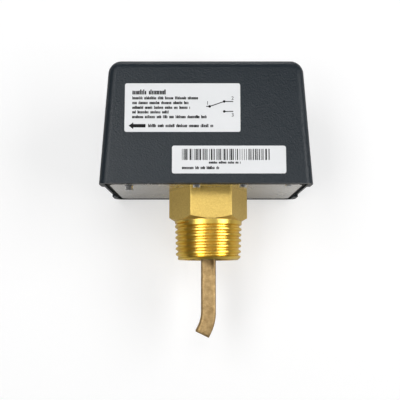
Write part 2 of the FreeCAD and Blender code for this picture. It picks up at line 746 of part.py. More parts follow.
def is_outer_bend(edge):
    """True for the long outer edges where the sheet is bent along X."""
    box_of_edge = edge.BoundBox
    back = number(WALL_BACK)
    at_back = abs(box_of_edge.YMin - back) < 1e-6 and abs(box_of_edge.YMax - back) < 1e-6
    heights = (number(PLATE_TOP), number(TAB_TOP))
    level = box_of_edge.ZMax - box_of_edge.ZMin < 1e-6
    return at_back and level and any(abs(box_of_edge.ZMin - height) < 1e-6 for height in heights)


def frame_screws():
    """Two screws that hold the frame's foot and end just below the base plate."""
    length = "plate_thickness + sheet_thickness + frame_screw_tip"
    screws = [
        pan_screw("frame_screw_diameter", length, "frame_screw_head", "frame_screw_head_height", x,
                  SCREW_LINE, FRAME_TOP, DOWN, UP)
        for x in frame_screw_places()
    ]
    return named("frame_screws", group(screws))


def pivot_pin():
    """Steel pin through the frame's lug, the arm's head and the frame's wall."""
    start = f"(0 - {WALL_BACK} - 2 * clip_thickness)"
    length = f"({WALL_BACK} + 2 * clip_thickness - {start})"
    return named("pivot_pin", rod("pin_diameter", length, 0, start, PIVOT, ALONG_Y))


def pin_clips():
    """Two spring clips that keep the pivot pin in place."""
    clips = []
    for y in (f"0 - {WALL_BACK} - clip_thickness", WALL_BACK):
        ring = rod("clip_diameter", "clip_thickness", 0, y, PIVOT, ALONG_Y)
        hole = rod("pin_diameter", "clip_thickness", 0, y, PIVOT, ALONG_Y)
        mouth = box("0 - pin_diameter / 4", y, PIVOT, "pin_diameter / 2", "clip_thickness", "clip_diameter")
        clips.append(cut(ring, [hole, mouth]))
    return named("pin_clips", group(clips))


def arm_bar():
    """The flat bar: a rounded rectangle swept down a straight line, round the bend and out to the end."""
    body = doc.addObject("PartDesign::Body", "ArmBar")
    profile = rectangle(body, "arm_thickness", "arm_width")
    angle = math.radians(number("arm_bend_angle"))
    radius = number("arm_bend_radius")
    end_length = number("arm_end_length")
    half_height = number("arm_thickness") / 2 * math.sin(angle)
    bend_height = radius * math.sin(angle) + end_length * math.cos(angle) + half_height
    straight = number("arm_bar_top") - number(ARM_END) - bend_height
    path = body.newObject("Sketcher::SketchObject", "Path")
    plane = next(item for item in body.Origin.OriginFeatures if item.Role == "XZ_Plane")
    path.AttachmentSupport = [(plane, "")]
    path.MapMode = "FlatFace"
    centre = Vector(-radius, -straight, 0)
    bend_end = centre + Vector(radius * math.cos(angle), -radius * math.sin(angle), 0)
    far_end = bend_end + Vector(-end_length * math.sin(angle), -end_length * math.cos(angle), 0)
    path.addGeometry(Part.LineSegment(Vector(), Vector(0, -straight, 0)), False)
    path.addGeometry(Part.ArcOfCircle(Part.Circle(centre, Vector(0, 0, 1), radius), -angle, 0), False)
    path.addGeometry(Part.LineSegment(bend_end, far_end), False)
    path.addConstraint(Sketcher.Constraint("Coincident", 0, 1, -1, 1))
    path.addConstraint(Sketcher.Constraint("Vertical", 0))
    path.addConstraint(Sketcher.Constraint("Tangent", 0, 2, 1, 2))
    path.addConstraint(Sketcher.Constraint("Tangent", 1, 1, 2, 1))
    path.addConstraint(Sketcher.Constraint("Distance", 0, straight))
    path.addConstraint(Sketcher.Constraint("Radius", 1, radius))
    path.addConstraint(Sketcher.Constraint("Distance", 2, end_length))
    path.addConstraint(Sketcher.Constraint("Angle", 0, 2, 2, 1, math.pi - angle))
    path.setExpression("Constraints[5]", sized("arm_bend_radius"))
    path.setExpression("Constraints[6]", sized("arm_end_length"))
    pipe = body.newObject("PartDesign::AdditivePipe", "Bar")
    pipe.Profile = profile
    pipe.Spine = (path, ["Edge1", "Edge2", "Edge3"])
    pipe.Mode = "Frenet"
    body.Tip = pipe
    place(body, 0, 0, "arm_bar_top")
    return body


def paddle_arm():
    """Cast arm: head on the pivot, round neck through the bellows and the bar that carries the paddle."""
    bar = arm_bar()
    bar_rounded = rounded(bar, "arm_edge_radius", runs_along_bar)
    neck = rod("arm_neck_diameter", f"{HEAD_BOTTOM} - arm_bar_top + arm_edge_radius",
               z="arm_bar_top - arm_edge_radius")
    head_block = box("0 - arm_head_width / 2", "0 - arm_head_width / 2", HEAD_BOTTOM, "arm_head_width",
                     "arm_head_width", "arm_head_height")
    head = rounded(head_block, "arm_edge_radius", upright)
    solid = fuse([bar_rounded, neck, head])
    pin_hole = rod("pin_diameter + 2 * pin_clearance", "arm_head_width", 0, "0 - arm_head_width / 2", PIVOT,
                   ALONG_Y)
    paddle_hole = rod("paddle_hole_diameter", "2 * arm_thickness", "0 - arm_thickness", 0,
                      f"{ARM_END} + paddle_hole_rise", ALONG_X)
    tools = [pin_hole, paddle_hole]
    for sign in "-+":
        tools.append(rod("lever_screw_diameter", "lever_screw_depth", f"0 {sign} lever_screw_place", 0,
                         f"{HEAD_TOP} - lever_screw_depth"))
    return named("paddle_arm", cut(solid, tools))


def runs_along_bar(edge):
    """True for the bar's long edges, and false for those of its two ends."""
    box_of_edge = edge.BoundBox
    return box_of_edge.YMax - box_of_edge.YMin < 1e-6 and box_of_edge.ZMax - box_of_edge.ZMin > 1


def bellows():
    """The space of the bellows' folds as one closed sleeve, with the flange that the collar clamps."""
    folds = rod("bellows_outer_diameter", "bellows_length", z=BELLOWS_BOTTOM)
    flange = rod("collar_diameter", "bellows_flange", z=COLLAR_BOTTOM)
    core = rod("bellows_inner_diameter", "bellows_length + bellows_flange", z=BELLOWS_BOTTOM)
    return named("bellows", cut(fuse([folds, flange]), [core]))


def bellows_collar():
    """Ring screwed into the spigot, which clamps the bellows' flange."""
    low = f"({COLLAR_BOTTOM} + bellows_flange)"
    ring = rod("collar_diameter", f"{SPIGOT_TOP} - {low}", z=low)
    hole = rod("bellows_outer_diameter", f"{SPIGOT_TOP} - {low}", z=low)
    return named("bellows_collar", cut(ring, [hole]))


def bellows_ring():
    """Ring soldered on the arm's neck, which closes the lower end of the bellows."""
    low = f"({BELLOWS_BOTTOM} - bellows_ring_height)"
    ring = rod("bellows_ring_diameter", "bellows_ring_height", z=low)
    hole = rod("arm_neck_diameter", "bellows_ring_height", z=low)
    bar_slot = box("0 - arm_thickness / 2", "0 - arm_width / 2", low, "arm_thickness", "arm_width",
                   f"arm_bar_top - {low}")
    return named("bellows_ring", cut(ring, [hole, bar_slot]))


def switch_lever():
    """Steel lever on the arm's head: one end under the range spring, the other under the plunger."""
    strip = box(f"0 - {SPRING_ARM} - lever_end", f"{SWITCH_LINE} - lever_width / 2", HEAD_TOP,
                f"{SPRING_ARM} + plunger_arm + 2 * lever_end", "lever_width", "sheet_thickness")
    strip = rounded(strip, "lever_corner_radius", upright)
    bridge = box("0 - arm_head_width / 2", "0 - arm_head_width / 2", HEAD_TOP, "arm_head_width",
                 f"arm_head_width / 2 + {SWITCH_LINE}", "sheet_thickness")
    holes = [
        rod("lever_screw_diameter", "sheet_thickness", f"0 {sign} lever_screw_place", 0, HEAD_TOP)
        for sign in "-+"
    ]
    return named("switch_lever", cut(fuse([strip, bridge]), holes))


def lever_screws():
    """Two screws that hold the lever on the arm's head."""
    screws = [
        pan_screw("lever_screw_diameter", "sheet_thickness + lever_screw_depth", "lever_screw_head",
                  "lever_screw_head_height", f"0 {sign} lever_screw_place", 0, LEVER_TOP, DOWN, UP)
        for sign in "-+"
    ]
    return named("lever_screws", group(screws))


def terminal_places():
    """Name and X of the three switch terminals."""
    names = ("terminal_common", "terminal_normally_open", "terminal_normally_closed")
    return [(name, f"{SWITCH_MIDDLE} + {step} * terminal_spacing") for name, step in zip(names, (-1, 0, 1))]


def switch_case():
    """Case of the snap-action switch, with barriers between the terminals on top."""
    left = f"{SWITCH_MIDDLE} - switch_length / 2"
    block = box(left, SWITCH_FRONT, SWITCH_BOTTOM, "switch_length", "switch_depth", "switch_height")
    barriers = []
    for sign in "-+":
        x = f"{SWITCH_MIDDLE} {sign} terminal_spacing / 2 - barrier_width / 2"
        barriers.append(box(x, SWITCH_FRONT, SWITCH_TOP, "barrier_width", "switch_depth", "barrier_height"))
    tools = []
    for x in switch_screw_places():
        tools.append(rod("switch_hole_diameter", "switch_depth", x, SWITCH_FRONT, SWITCH_HOLES, ALONG_Y))
    for _, x in terminal_places():
        tools.append(rod("terminal_screw_diameter", "terminal_screw_depth", x, SWITCH_LINE,
                         f"{SWITCH_TOP} - terminal_screw_depth"))
    tools.append(rod("plunger_diameter + 2 * pin_clearance", "plunger_depth", "plunger_arm", SWITCH_LINE,
                     SWITCH_BOTTOM))
    return named("switch_case", cut(fuse([rounded(block, "switch_edge_radius", upright), *barriers]), tools))


def switch_plunger():
    """Plunger of the switch, with a domed tip above the lever."""
    dome = "(plunger_diameter / 4)"
    shaft = rod("plunger_diameter", f"plunger_standout + plunger_depth / 2 - {dome}", "plunger_arm",
                SWITCH_LINE, f"{LEVER_TOP} + plunger_gap + {dome}")
    tip = cone("plunger_diameter / 2", "plunger_diameter", dome, "plunger_arm", SWITCH_LINE,
               f"{LEVER_TOP} + plunger_gap")
    return named("switch_plunger", fuse([shaft, tip]))


def terminal(name, x):
    """One brass terminal plate on the switch."""
    plate = box(f"{x} - terminal_size / 2", f"{SWITCH_LINE} - terminal_size / 2", SWITCH_TOP,
                "terminal_size", "terminal_size", "terminal_thickness")
    hole = rod("terminal_screw_diameter", "terminal_thickness", x, SWITCH_LINE, SWITCH_TOP)
    return named(name, cut(plate, [hole]))


def terminal_screws():
    """The three terminal screws."""
    seat = f"({SWITCH_TOP} + terminal_thickness)"
    screws = [
        pan_screw("terminal_screw_diameter", "terminal_thickness + terminal_screw_depth",
                  "terminal_screw_head", "terminal_screw_head_height", x, SWITCH_LINE, seat, DOWN, UP)
        for _, x in terminal_places()
    ]
    return named("terminal_screws", group(screws))


def switch_screws():
    """Two screws that hold the switch on the frame's wall."""
    length = f"{WALL_BACK} + switch_nut_height + sheet_thickness / 2 - {SWITCH_FRONT}"
    back = Rotation(Vector(1, 0, 0), 90)
    screws = [
        pan_screw("switch_screw_diameter", length, "switch_screw_head", "switch_screw_head_height", x,
                  SWITCH_FRONT, SWITCH_HOLES, ALONG_Y, back)
        for x in switch_screw_places()
    ]
    return named("switch_screws", group(screws))


def switch_nuts():
    """The two hexagon nuts behind the frame's wall."""
    nuts = []
    for x in switch_screw_places():
        nut = hexagon("switch_nut_across_flats", "switch_nut_height", x, WALL_BACK, SWITCH_HOLES, ALONG_Y)
        hole = rod("switch_screw_diameter", "switch_nut_height", x, WALL_BACK, SWITCH_HOLES, ALONG_Y)
        nuts.append(cut(nut, [hole]))
    return named("switch_nuts", group(nuts))


def range_screw():
    """Slotted screw that hangs in the frame's tab and drives the spring nut."""
    shank = rod("range_screw_diameter", "range_screw_length", f"0 - {SPRING_ARM}", SWITCH_LINE,
                f"{TAB_TOP} - range_screw_length")
    head = rod("range_screw_head", "range_screw_head_height", f"0 - {SPRING_ARM}", SWITCH_LINE, TAB_TOP)
    slot = box(f"0 - {SPRING_ARM} - range_screw_head / 2", f"{SWITCH_LINE} - range_screw_slot / 2",
               f"{TAB_TOP} + range_screw_head_height / 2", "range_screw_head", "range_screw_slot",
               "range_screw_head_height / 2")
    return named("range_screw", cut(fuse([shank, head]), [slot]))


def range_nut():
    """Nut on the range screw; the frame's wall behind it keeps it from turning."""
    front = f"({SWITCH_LINE} - range_nut_width / 2)"
    block = box(f"0 - {SPRING_ARM} - range_nut_width / 2", front, RANGE_NUT_BOTTOM, "range_nut_width",
                f"{FRAME_WALL} - seal_clearance - {front}", "range_nut_height")
    block = rounded(block, "range_nut_edge_radius", upright)
    hole = rod("range_screw_diameter + 2 * pin_clearance", "range_nut_height", f"0 - {SPRING_ARM}",
               SWITCH_LINE, RANGE_NUT_BOTTOM)
    return named("range_nut", cut(block, [hole]))


def range_spring():
    """The space of the coil spring between its seat and the nut, as one closed sleeve."""
    height = f"({RANGE_NUT_BOTTOM} - {SEAT_TOP})"
    place_on_lever = (f"0 - {SPRING_ARM}", SWITCH_LINE, SEAT_TOP)
    coil = rod("spring_mean_diameter + spring_wire_diameter", height, *place_on_lever)
    core = rod("spring_mean_diameter - spring_wire_diameter", height, *place_on_lever)
    return named("range_spring", cut(coil, [core]))


def spring_seat():
    """Flanged seat on the lever that centres the spring."""
    flange = rod("seat_diameter", "seat_height", f"0 - {SPRING_ARM}", SWITCH_LINE, LEVER_TOP)
    boss = cone("seat_boss_diameter", "seat_boss_top_diameter", "seat_boss_height", f"0 - {SPRING_ARM}",
                SWITCH_LINE, SEAT_TOP)
    return named("spring_seat", fuse([flange, boss]))


pieces = [
    hex_body(),
    body_seal(),
    lock_nut(),
    base_plate(),
    plate_nuts(),
    cover_gasket(),
    mechanism_frame(),
    frame_screws(),
    pivot_pin(),
    pin_clips(),
    bellows(),
    bellows_collar(),
    bellows_ring(),
    paddle_arm(),
    switch_lever(),
    lever_screws(),
    spring_seat(),
    range_spring(),
    range_nut(),
    range_screw(),
    switch_case(),
    switch_plunger(),
    terminal_screws(),
    switch_screws(),
    switch_nuts(),
    cover_posts(),
    plate_screw("earth_screw", plate_screw_places()[0], "earth_washer_thickness", "earth_screw_tip"),
    plate_screw("clip_screw", plate_screw_places()[1], "wire_clip_thickness", "clip_screw_tip"),
    earth_washer(),
    wire_clip(),
    cover(),
    cover_screws(),
    cable_grommet(),
    label("rating_label"),
    label("serial_label"),
]
pieces.extend(terminal(name, x) for name, x in terminal_places())
doc.recompute()

for item in doc.Objects:
    if "Invalid" in item.State or "Error" in item.State:
        raise RuntimeError(f"{item.Label} failed: {item.State}")
for piece in pieces:
    if piece.Shape.isNull() or not piece.Shape.isValid() or not piece.Shape.Solids:
        raise RuntimeError(f"{piece.Label} has no valid shape")

os.makedirs("parts", exist_ok=True)
for piece in pieces:
    piece.Shape.exportStep(f"parts/{piece.Label}.step")
    print(f"{piece.Label}: {len(piece.Shape.Solids)} solid(s), {piece.Shape.Volume:.0f} mm3")
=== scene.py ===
# %% [markdown]
# # Dressing a paddle flow switch
#
# A paddle flow switch screws into a pipe. Its brass arm hangs in the water, a paddle on the arm feels the
# flow, and a small snap-action switch under the black cover reports it. The exact solids are loaded first
# and act as a fixed frame: every new piece is made in the same metres, at the place where the solids are.

# %% Load the frame
import math
import random

import bmesh
import bpy
from mathutils import Matrix, Vector


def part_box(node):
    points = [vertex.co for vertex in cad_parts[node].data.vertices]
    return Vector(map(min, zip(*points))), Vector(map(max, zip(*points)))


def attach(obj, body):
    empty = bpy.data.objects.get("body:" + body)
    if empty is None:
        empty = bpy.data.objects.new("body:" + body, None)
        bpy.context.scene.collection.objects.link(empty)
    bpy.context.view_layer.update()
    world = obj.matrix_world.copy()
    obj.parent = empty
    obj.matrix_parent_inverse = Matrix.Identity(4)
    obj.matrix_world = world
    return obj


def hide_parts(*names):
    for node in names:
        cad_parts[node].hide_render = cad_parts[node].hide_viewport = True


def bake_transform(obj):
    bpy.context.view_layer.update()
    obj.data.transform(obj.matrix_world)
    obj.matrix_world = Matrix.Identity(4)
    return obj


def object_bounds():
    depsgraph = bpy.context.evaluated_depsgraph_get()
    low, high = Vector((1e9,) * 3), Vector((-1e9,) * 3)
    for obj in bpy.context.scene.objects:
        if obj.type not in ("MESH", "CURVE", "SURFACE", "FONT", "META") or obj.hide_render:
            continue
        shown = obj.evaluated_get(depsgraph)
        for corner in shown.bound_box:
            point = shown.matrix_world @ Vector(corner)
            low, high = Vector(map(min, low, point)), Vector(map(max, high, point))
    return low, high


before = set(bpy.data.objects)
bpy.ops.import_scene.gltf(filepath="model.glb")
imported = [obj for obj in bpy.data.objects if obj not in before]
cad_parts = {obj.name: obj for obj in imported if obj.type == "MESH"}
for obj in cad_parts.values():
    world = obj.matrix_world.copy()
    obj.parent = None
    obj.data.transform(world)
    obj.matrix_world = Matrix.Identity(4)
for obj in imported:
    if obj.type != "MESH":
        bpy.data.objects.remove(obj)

MM = 0.001
solid_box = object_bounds()
corners_in_mm = [round(value / MM, 1) for corner in solid_box for value in corner]
print("solids:", len(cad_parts), "box in mm:", corners_in_mm)

# %% [markdown]
# ## The camera
#
# In a product picture the object usually lies on a white table and the camera looks straight down on it.
# Here the object keeps its own upright axes, so the "table" stands behind it and the camera looks along +Y.
# The underside of the steel plate shows as a thin strip, so the lens is below the plate. A focal length
# and a distance are found from that strip: its rear edge is shorter than its front edge by perspective.
# A small tilt, with a small lens shift, puts the object in the frame as in the picture.

# %% Camera
PICTURE = 400
focal_pixels = 594
tilt = math.radians(3.5)
horizon_row = 277
camera_place = (-4.2 * MM, -300 * MM, -28 * MM)
camera_data = bpy.data.cameras.new("product_camera")
camera_data.sensor_width = 36
camera_data.lens = focal_pixels / PICTURE * camera_data.sensor_width
camera_data.shift_y = (horizon_row - PICTURE / 2 - focal_pixels * math.tan(tilt)) / PICTURE
camera_data.clip_start = 0.01
camera = bpy.data.objects.new("product_camera", camera_data)
camera.location = camera_place
camera.rotation_euler = (math.radians(90) + tilt, 0, 0)
bpy.context.collection.objects.link(camera)
bpy.context.scene.camera = camera
bpy.context.scene.view_settings.view_transform = "Standard"
print("lens in mm:", round(camera_data.lens, 1), "shift:", round(camera_data.shift_y, 3))

# %% [markdown]
# ## The table and the light
#
# The picture has a pure white ground with soft grey shadows, so the table is a white plane just behind the
# object. Two large soft boxes stand beside the camera and leave a gap at the lens: their reflections are
# the two bright stripes on the round thread. A weaker box above the lens lifts the front of the hexagon, one
# overhead serves the view from above, and one at the rear lights the object's back.
#
# The table glows a little, so that it stays white in the picture while a soft shadow still shows on it. In
# mirror-like metal it looks greyer, as paper does beside a lamp. Seen from behind, the plane is clear, and it
# stops no light from the box at the rear, so that the back can be looked at too.

# %% Table
table_reach = 1.5
table_gap = 0.5 * MM
table_mesh = bpy.data.meshes.new("white_table")
table_shape = bmesh.new()
bmesh.ops.create_grid(table_shape, x_segments=1, y_segments=1, size=table_reach)
bmesh.ops.rotate(table_shape, verts=table_shape.verts, matrix=Matrix.Rotation(math.radians(90), 3, "X"))
bmesh.ops.translate(table_shape, verts=table_shape.verts, vec=(0, solid_box[1].y + table_gap, 0))
table_shape.to_mesh(table_mesh)
table_shape.free()
table = bpy.data.objects.new("white_table", table_mesh)
bpy.context.collection.objects.link(table)
print("table normal:", [round(v) for v in table_mesh.polygons[0].normal])

# %% Paper of the table
table_finish = bpy.data.materials.new("white_table")
table_finish.use_nodes = True
tree = table_finish.node_tree
paper = tree.nodes["Principled BSDF"]
paper.inputs["Base Color"].default_value = (0.47, 0.47, 0.47, 1)
paper.inputs["Roughness"].default_value = 0.9
paper.inputs["Emission Color"].default_value = (1, 1, 1, 1)
glow_in_mirrors = 0.10
glow_in_picture = 0.54
ray = tree.nodes.new("ShaderNodeLightPath")
glow = tree.nodes.new("ShaderNodeMapRange")
glow.inputs["To Min"].default_value = glow_in_mirrors
glow.inputs["To Max"].default_value = glow_in_picture
tree.links.new(ray.outputs["Is Camera Ray"], glow.inputs["Value"])
tree.links.new(glow.outputs[0], paper.inputs["Emission Strength"])
see_through = tree.nodes.new("ShaderNodeBsdfTransparent")
side = tree.nodes.new("ShaderNodeNewGeometry")
behind_or_shadow = tree.nodes.new("ShaderNodeMath")
behind_or_shadow.operation = "MAXIMUM"
either = tree.nodes.new("ShaderNodeMixShader")
tree.links.new(side.outputs["Backfacing"], behind_or_shadow.inputs[0])
tree.links.new(ray.outputs["Is Shadow Ray"], behind_or_shadow.inputs[1])
tree.links.new(behind_or_shadow.outputs[0], either.inputs[0])
tree.links.new(paper.outputs[0], either.inputs[1])
tree.links.new(see_through.outputs[0], either.inputs[2])
tree.links.new(either.outputs[0], tree.nodes["Material Output"].inputs["Surface"])
table_mesh.materials.append(table_finish)
print("glow of the table:", glow_in_picture, "in mirrors:", glow_in_mirrors)


# %% Soft boxes
def soft_box(name, place, width, height, power, aim=(0, 0, 0.02)):
    """A rectangular area light that faces the object."""
    lamp = bpy.data.lights.new(name, "AREA")
    lamp.shape = "RECTANGLE"
    lamp.size = width
    lamp.size_y = height
    lamp.energy = power
    stand = bpy.data.objects.new(name, lamp)
    stand.location = place
    stand.rotation_euler = (Vector(aim) - Vector(place)).to_track_quat("-Z", "Y").to_euler()
    bpy.context.collection.objects.link(stand)


soft_box("left_box", (-0.34, -0.62, 0.06), width=0.30, height=0.75, power=3.1)
soft_box("right_box", (0.62, -0.52, 0.06), width=0.36, height=0.75, power=4.2)
soft_box("front_box", (0.06, -0.80, 0.24), width=0.36, height=0.24, power=1.0)
soft_box("top_box", (0.0, -0.05, 0.85), width=0.5, height=0.12, power=1.2)
soft_box("rear_box", (0.10, 0.75, 0.25), width=0.9, height=0.6, power=7.0)
world = bpy.data.worlds.new("studio")
bpy.context.scene.world = world
world.use_nodes = True
world.node_tree.nodes["Background"].inputs["Color"].default_value = (0.9, 0.92, 0.95, 1)
world.node_tree.nodes["Background"].inputs["Strength"].default_value = 0.07
print("lights:", [light.name for light in bpy.data.lights])

# %% [markdown]
# ## Effects that several finishes share
#
# Moulded plastic, sand-blasted brass and cast brass all have a fine grain, only at other sizes. Rolled and
# brushed steel have fine lines instead. Each effect is a node group with named inputs and outputs, built
# once, so a finish only states its own values. They read object coordinates, which are the real metres of
# this object, so a scale of 2000 makes features of about half a millimetre.


# %% Group helper
def new_effect(name, inputs, outputs):
    """A shader node group with named sockets: inputs map a name to (kind, default)."""
    effect = bpy.data.node_groups.new(name, "ShaderNodeTree")
    for label, (kind, default) in inputs.items():
        socket = effect.interface.new_socket(label, in_out="INPUT", socket_type=kind)
        if default is not None:
            socket.default_value = default
    for label, kind in outputs.items():
        effect.interface.new_socket(label, in_out="OUTPUT", socket_type=kind)
    entry = effect.nodes.new("NodeGroupInput")
    result = effect.nodes.new("NodeGroupOutput")
    return effect, entry, result


FLOAT = "NodeSocketFloat"
COLOUR = "NodeSocketColor"
VECTOR = "NodeSocketVector"

# %% [markdown]
# The grain mixes a soft noise with small round cells. The cells read as the tiny pits that spark erosion
# leaves in a mould, or that blasting leaves in brass.

# %% Fine grain
fine_grain, entry, result = new_effect(
    "fine_grain", {"Vector": (VECTOR, None), "Scale": (FLOAT, 2000.0)}, {"Height": FLOAT}
)
noise = fine_grain.nodes.new("ShaderNodeTexNoise")
noise.inputs["Detail"].default_value = 3
cells = fine_grain.nodes.new("ShaderNodeTexVoronoi")
cells.feature = "SMOOTH_F1"
blend = fine_grain.nodes.new("ShaderNodeMix")
blend.inputs["Factor"].default_value = 0.4
for texture in (noise, cells):
    fine_grain.links.new(entry.outputs["Vector"], texture.inputs["Vector"])
    fine_grain.links.new(entry.outputs["Scale"], texture.inputs["Scale"])
fine_grain.links.new(noise.outputs[0], blend.inputs[2])
fine_grain.links.new(cells.outputs["Distance"], blend.inputs[3])
fine_grain.links.new(blend.outputs[0], result.inputs["Height"])
print(fine_grain.name, "nodes:", len(fine_grain.nodes))

# %% [markdown]
# Brushing lines are the same noise stretched a hundred times along one direction. The Stretch input says
# how much the coordinates are squeezed along each axis: a small number there makes long lines.

# %% Brushed lines
brushed_lines, entry, result = new_effect(
    "brushed_lines",
    {"Vector": (VECTOR, None), "Stretch": (VECTOR, (1.0, 1.0, 1.0)), "Scale": (FLOAT, 1500.0)},
    {"Height": FLOAT},
)
squeeze = brushed_lines.nodes.new("ShaderNodeVectorMath")
squeeze.operation = "MULTIPLY"
noise = brushed_lines.nodes.new("ShaderNodeTexNoise")
noise.inputs["Detail"].default_value = 4
noise.inputs["Roughness"].default_value = 0.6
brushed_lines.links.new(entry.outputs["Vector"], squeeze.inputs[0])
brushed_lines.links.new(entry.outputs["Stretch"], squeeze.inputs[1])
brushed_lines.links.new(squeeze.outputs[0], noise.inputs["Vector"])
brushed_lines.links.new(entry.outputs["Scale"], noise.inputs["Scale"])
brushed_lines.links.new(noise.outputs[0], result.inputs["Height"])
print(brushed_lines.name, "nodes:", len(brushed_lines.nodes))

# %% [markdown]
# No handled surface has one flat colour. This effect drifts between a clean and a dull colour in soft
# clouds, and gives the same clouds as a mask, so that dull places can be rougher as well.

# %% Tarnish clouds
tarnish, entry, result = new_effect(
    "tarnish",
    {
        "Vector": (VECTOR, None),
        "Scale": (FLOAT, 120.0),
        "Amount": (FLOAT, 0.5),
        "Clean": (COLOUR, (0.8, 0.8, 0.8, 1)),
        "Dull": (COLOUR, (0.4, 0.4, 0.4, 1)),
    },
    {"Color": COLOUR, "Mask": FLOAT},
)
clouds = tarnish.nodes.new("ShaderNodeTexNoise")
clouds.inputs["Detail"].default_value = 5
clouds.inputs["Roughness"].default_value = 0.65
contrast = tarnish.nodes.new("ShaderNodeMapRange")
contrast.inputs["From Min"].default_value = 0.35
contrast.inputs["From Max"].default_value = 0.7
weight = tarnish.nodes.new("ShaderNodeMath")
weight.operation = "MULTIPLY"
tint = tarnish.nodes.new("ShaderNodeMix")
tint.data_type = "RGBA"
tarnish.links.new(entry.outputs["Vector"], clouds.inputs["Vector"])
tarnish.links.new(entry.outputs["Scale"], clouds.inputs["Scale"])
tarnish.links.new(clouds.outputs[0], contrast.inputs["Value"])
tarnish.links.new(contrast.outputs[0], weight.inputs[0])
tarnish.links.new(entry.outputs["Amount"], weight.inputs[1])
tarnish.links.new(weight.outputs[0], tint.inputs["Factor"])
tarnish.links.new(entry.outputs["Clean"], tint.inputs[6])
tarnish.links.new(entry.outputs["Dull"], tint.inputs[7])
tarnish.links.new(tint.outputs[2], result.inputs["Color"])
tarnish.links.new(weight.outputs[0], result.inputs["Mask"])
print(tarnish.name, "nodes:", len(tarnish.nodes))

# %% [markdown]
# ## Finishes
#
# One helper lays out what every finish needs: the tarnish clouds for colour and roughness, and the grain or
# the lines for a bump. Numbers that are the same all over, such as metallic or a coat, are set straight on
# the shader's sockets. The texture coordinate is Object, because all pieces share one origin.

# %% Clouds and relief
LINE_SCALE = 1500


def add_clouds(tree, where, clean, dull, scale, amount):
    """The tarnish clouds in a material."""
    cloud = tree.nodes.new("ShaderNodeGroup")
    cloud.node_tree = tarnish
    cloud.inputs["Scale"].default_value = scale
    cloud.inputs["Amount"].default_value = amount
    cloud.inputs["Clean"].default_value = (*clean, 1)
    cloud.inputs["Dull"].default_value = (*dull, 1)
    tree.links.new(where, cloud.inputs["Vector"])
    return cloud


def add_relief(tree, where, grain, lines, bump, depth):
    """A bump from the grain or, where lines are given, from brushing lines; its depth is in millimetres."""
    effect = tree.nodes.new("ShaderNodeGroup")
    effect.node_tree = brushed_lines if lines else fine_grain
    if lines:
        effect.inputs["Stretch"].default_value = lines
    effect.inputs["Scale"].default_value = LINE_SCALE if lines else grain
    tree.links.new(where, effect.inputs["Vector"])
    relief = tree.nodes.new("ShaderNodeBump")
    relief.inputs["Strength"].default_value = bump
    relief.inputs["Distance"].default_value = depth * MM
    tree.links.new(effect.outputs["Height"], relief.inputs["Height"])
    return relief


# %% Finish helper
def new_finish(name, clean, dull, roughness, dull_roughness, metallic=0.0, clouds_scale=120, amount=0.6,
               grain=None, lines=None, bump=0.2, depth=0.05, **fixed):
    """A material with cloudy colour and a grain or brushed bump; fixed values go on the shader's sockets."""
    finish = bpy.data.materials.new(name)
    finish.use_nodes = True
    tree = finish.node_tree
    shader = tree.nodes["Principled BSDF"]
    shader.inputs["Metallic"].default_value = metallic
    for socket, value in fixed.items():
        shader.inputs[socket.replace("_", " ")].default_value = value
    where = tree.nodes.new("ShaderNodeTexCoord").outputs["Object"]
    cloud = add_clouds(tree, where, clean, dull, clouds_scale, amount)
    tree.links.new(cloud.outputs["Color"], shader.inputs["Base Color"])
    spread = tree.nodes.new("ShaderNodeMapRange")
    spread.inputs["To Min"].default_value = roughness
    spread.inputs["To Max"].default_value = dull_roughness
    tree.links.new(cloud.outputs["Mask"], spread.inputs["Value"])
    tree.links.new(spread.outputs[0], shader.inputs["Roughness"])
    relief = add_relief(tree, where, grain, lines, bump, depth)
    tree.links.new(relief.outputs[0], shader.inputs["Normal"])
    return finish


def wear(node, finish):
    """Give a solid of the frame its finish."""
    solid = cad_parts[node]
    if not solid.material_slots:
        solid.data.materials.append(None)
    for slot in solid.material_slots:
        slot.material = finish


# %% [markdown]
# The cover is moulded in black plastic with a fine leather-like grain. Seen from the front it looks dark
# blue-grey, because the grain spreads the light of the soft boxes over the whole face.

# %% Plastics and rubber
cover_black = new_finish("cover_black", (0.009, 0.015, 0.021), (0.013, 0.020, 0.027), 0.36, 0.42,
                         clouds_scale=60, grain=1300, bump=1.0, depth=0.22, Specular_IOR_Level=0.36)
switch_black = new_finish("switch_black", (0.018, 0.018, 0.020), (0.030, 0.028, 0.026), 0.30, 0.42,
                          clouds_scale=200, grain=4000, bump=0.15)
plunger_red = new_finish("plunger_red", (0.45, 0.03, 0.02), (0.36, 0.03, 0.02), 0.30, 0.40,
                         grain=3000, bump=0.1)
seal_rubber = new_finish("seal_rubber", (0.016, 0.016, 0.017), (0.034, 0.033, 0.032), 0.70, 0.85,
                         clouds_scale=300, grain=3500, bump=0.4)

# %% [markdown]
# Three kinds of brass sit side by side. The hexagon is tumbled, so its flat faces sparkle with a sandy
# grain. The thread is freshly cut and bright. The arm is sand cast and only cleaned, so it is dull and tan.
# The plate is brushed steel, the frame and the lever are plain rolled sheet, and the screws are zinc plated.
# The spring is drawn steel wire, and the bellows is thin bronze.

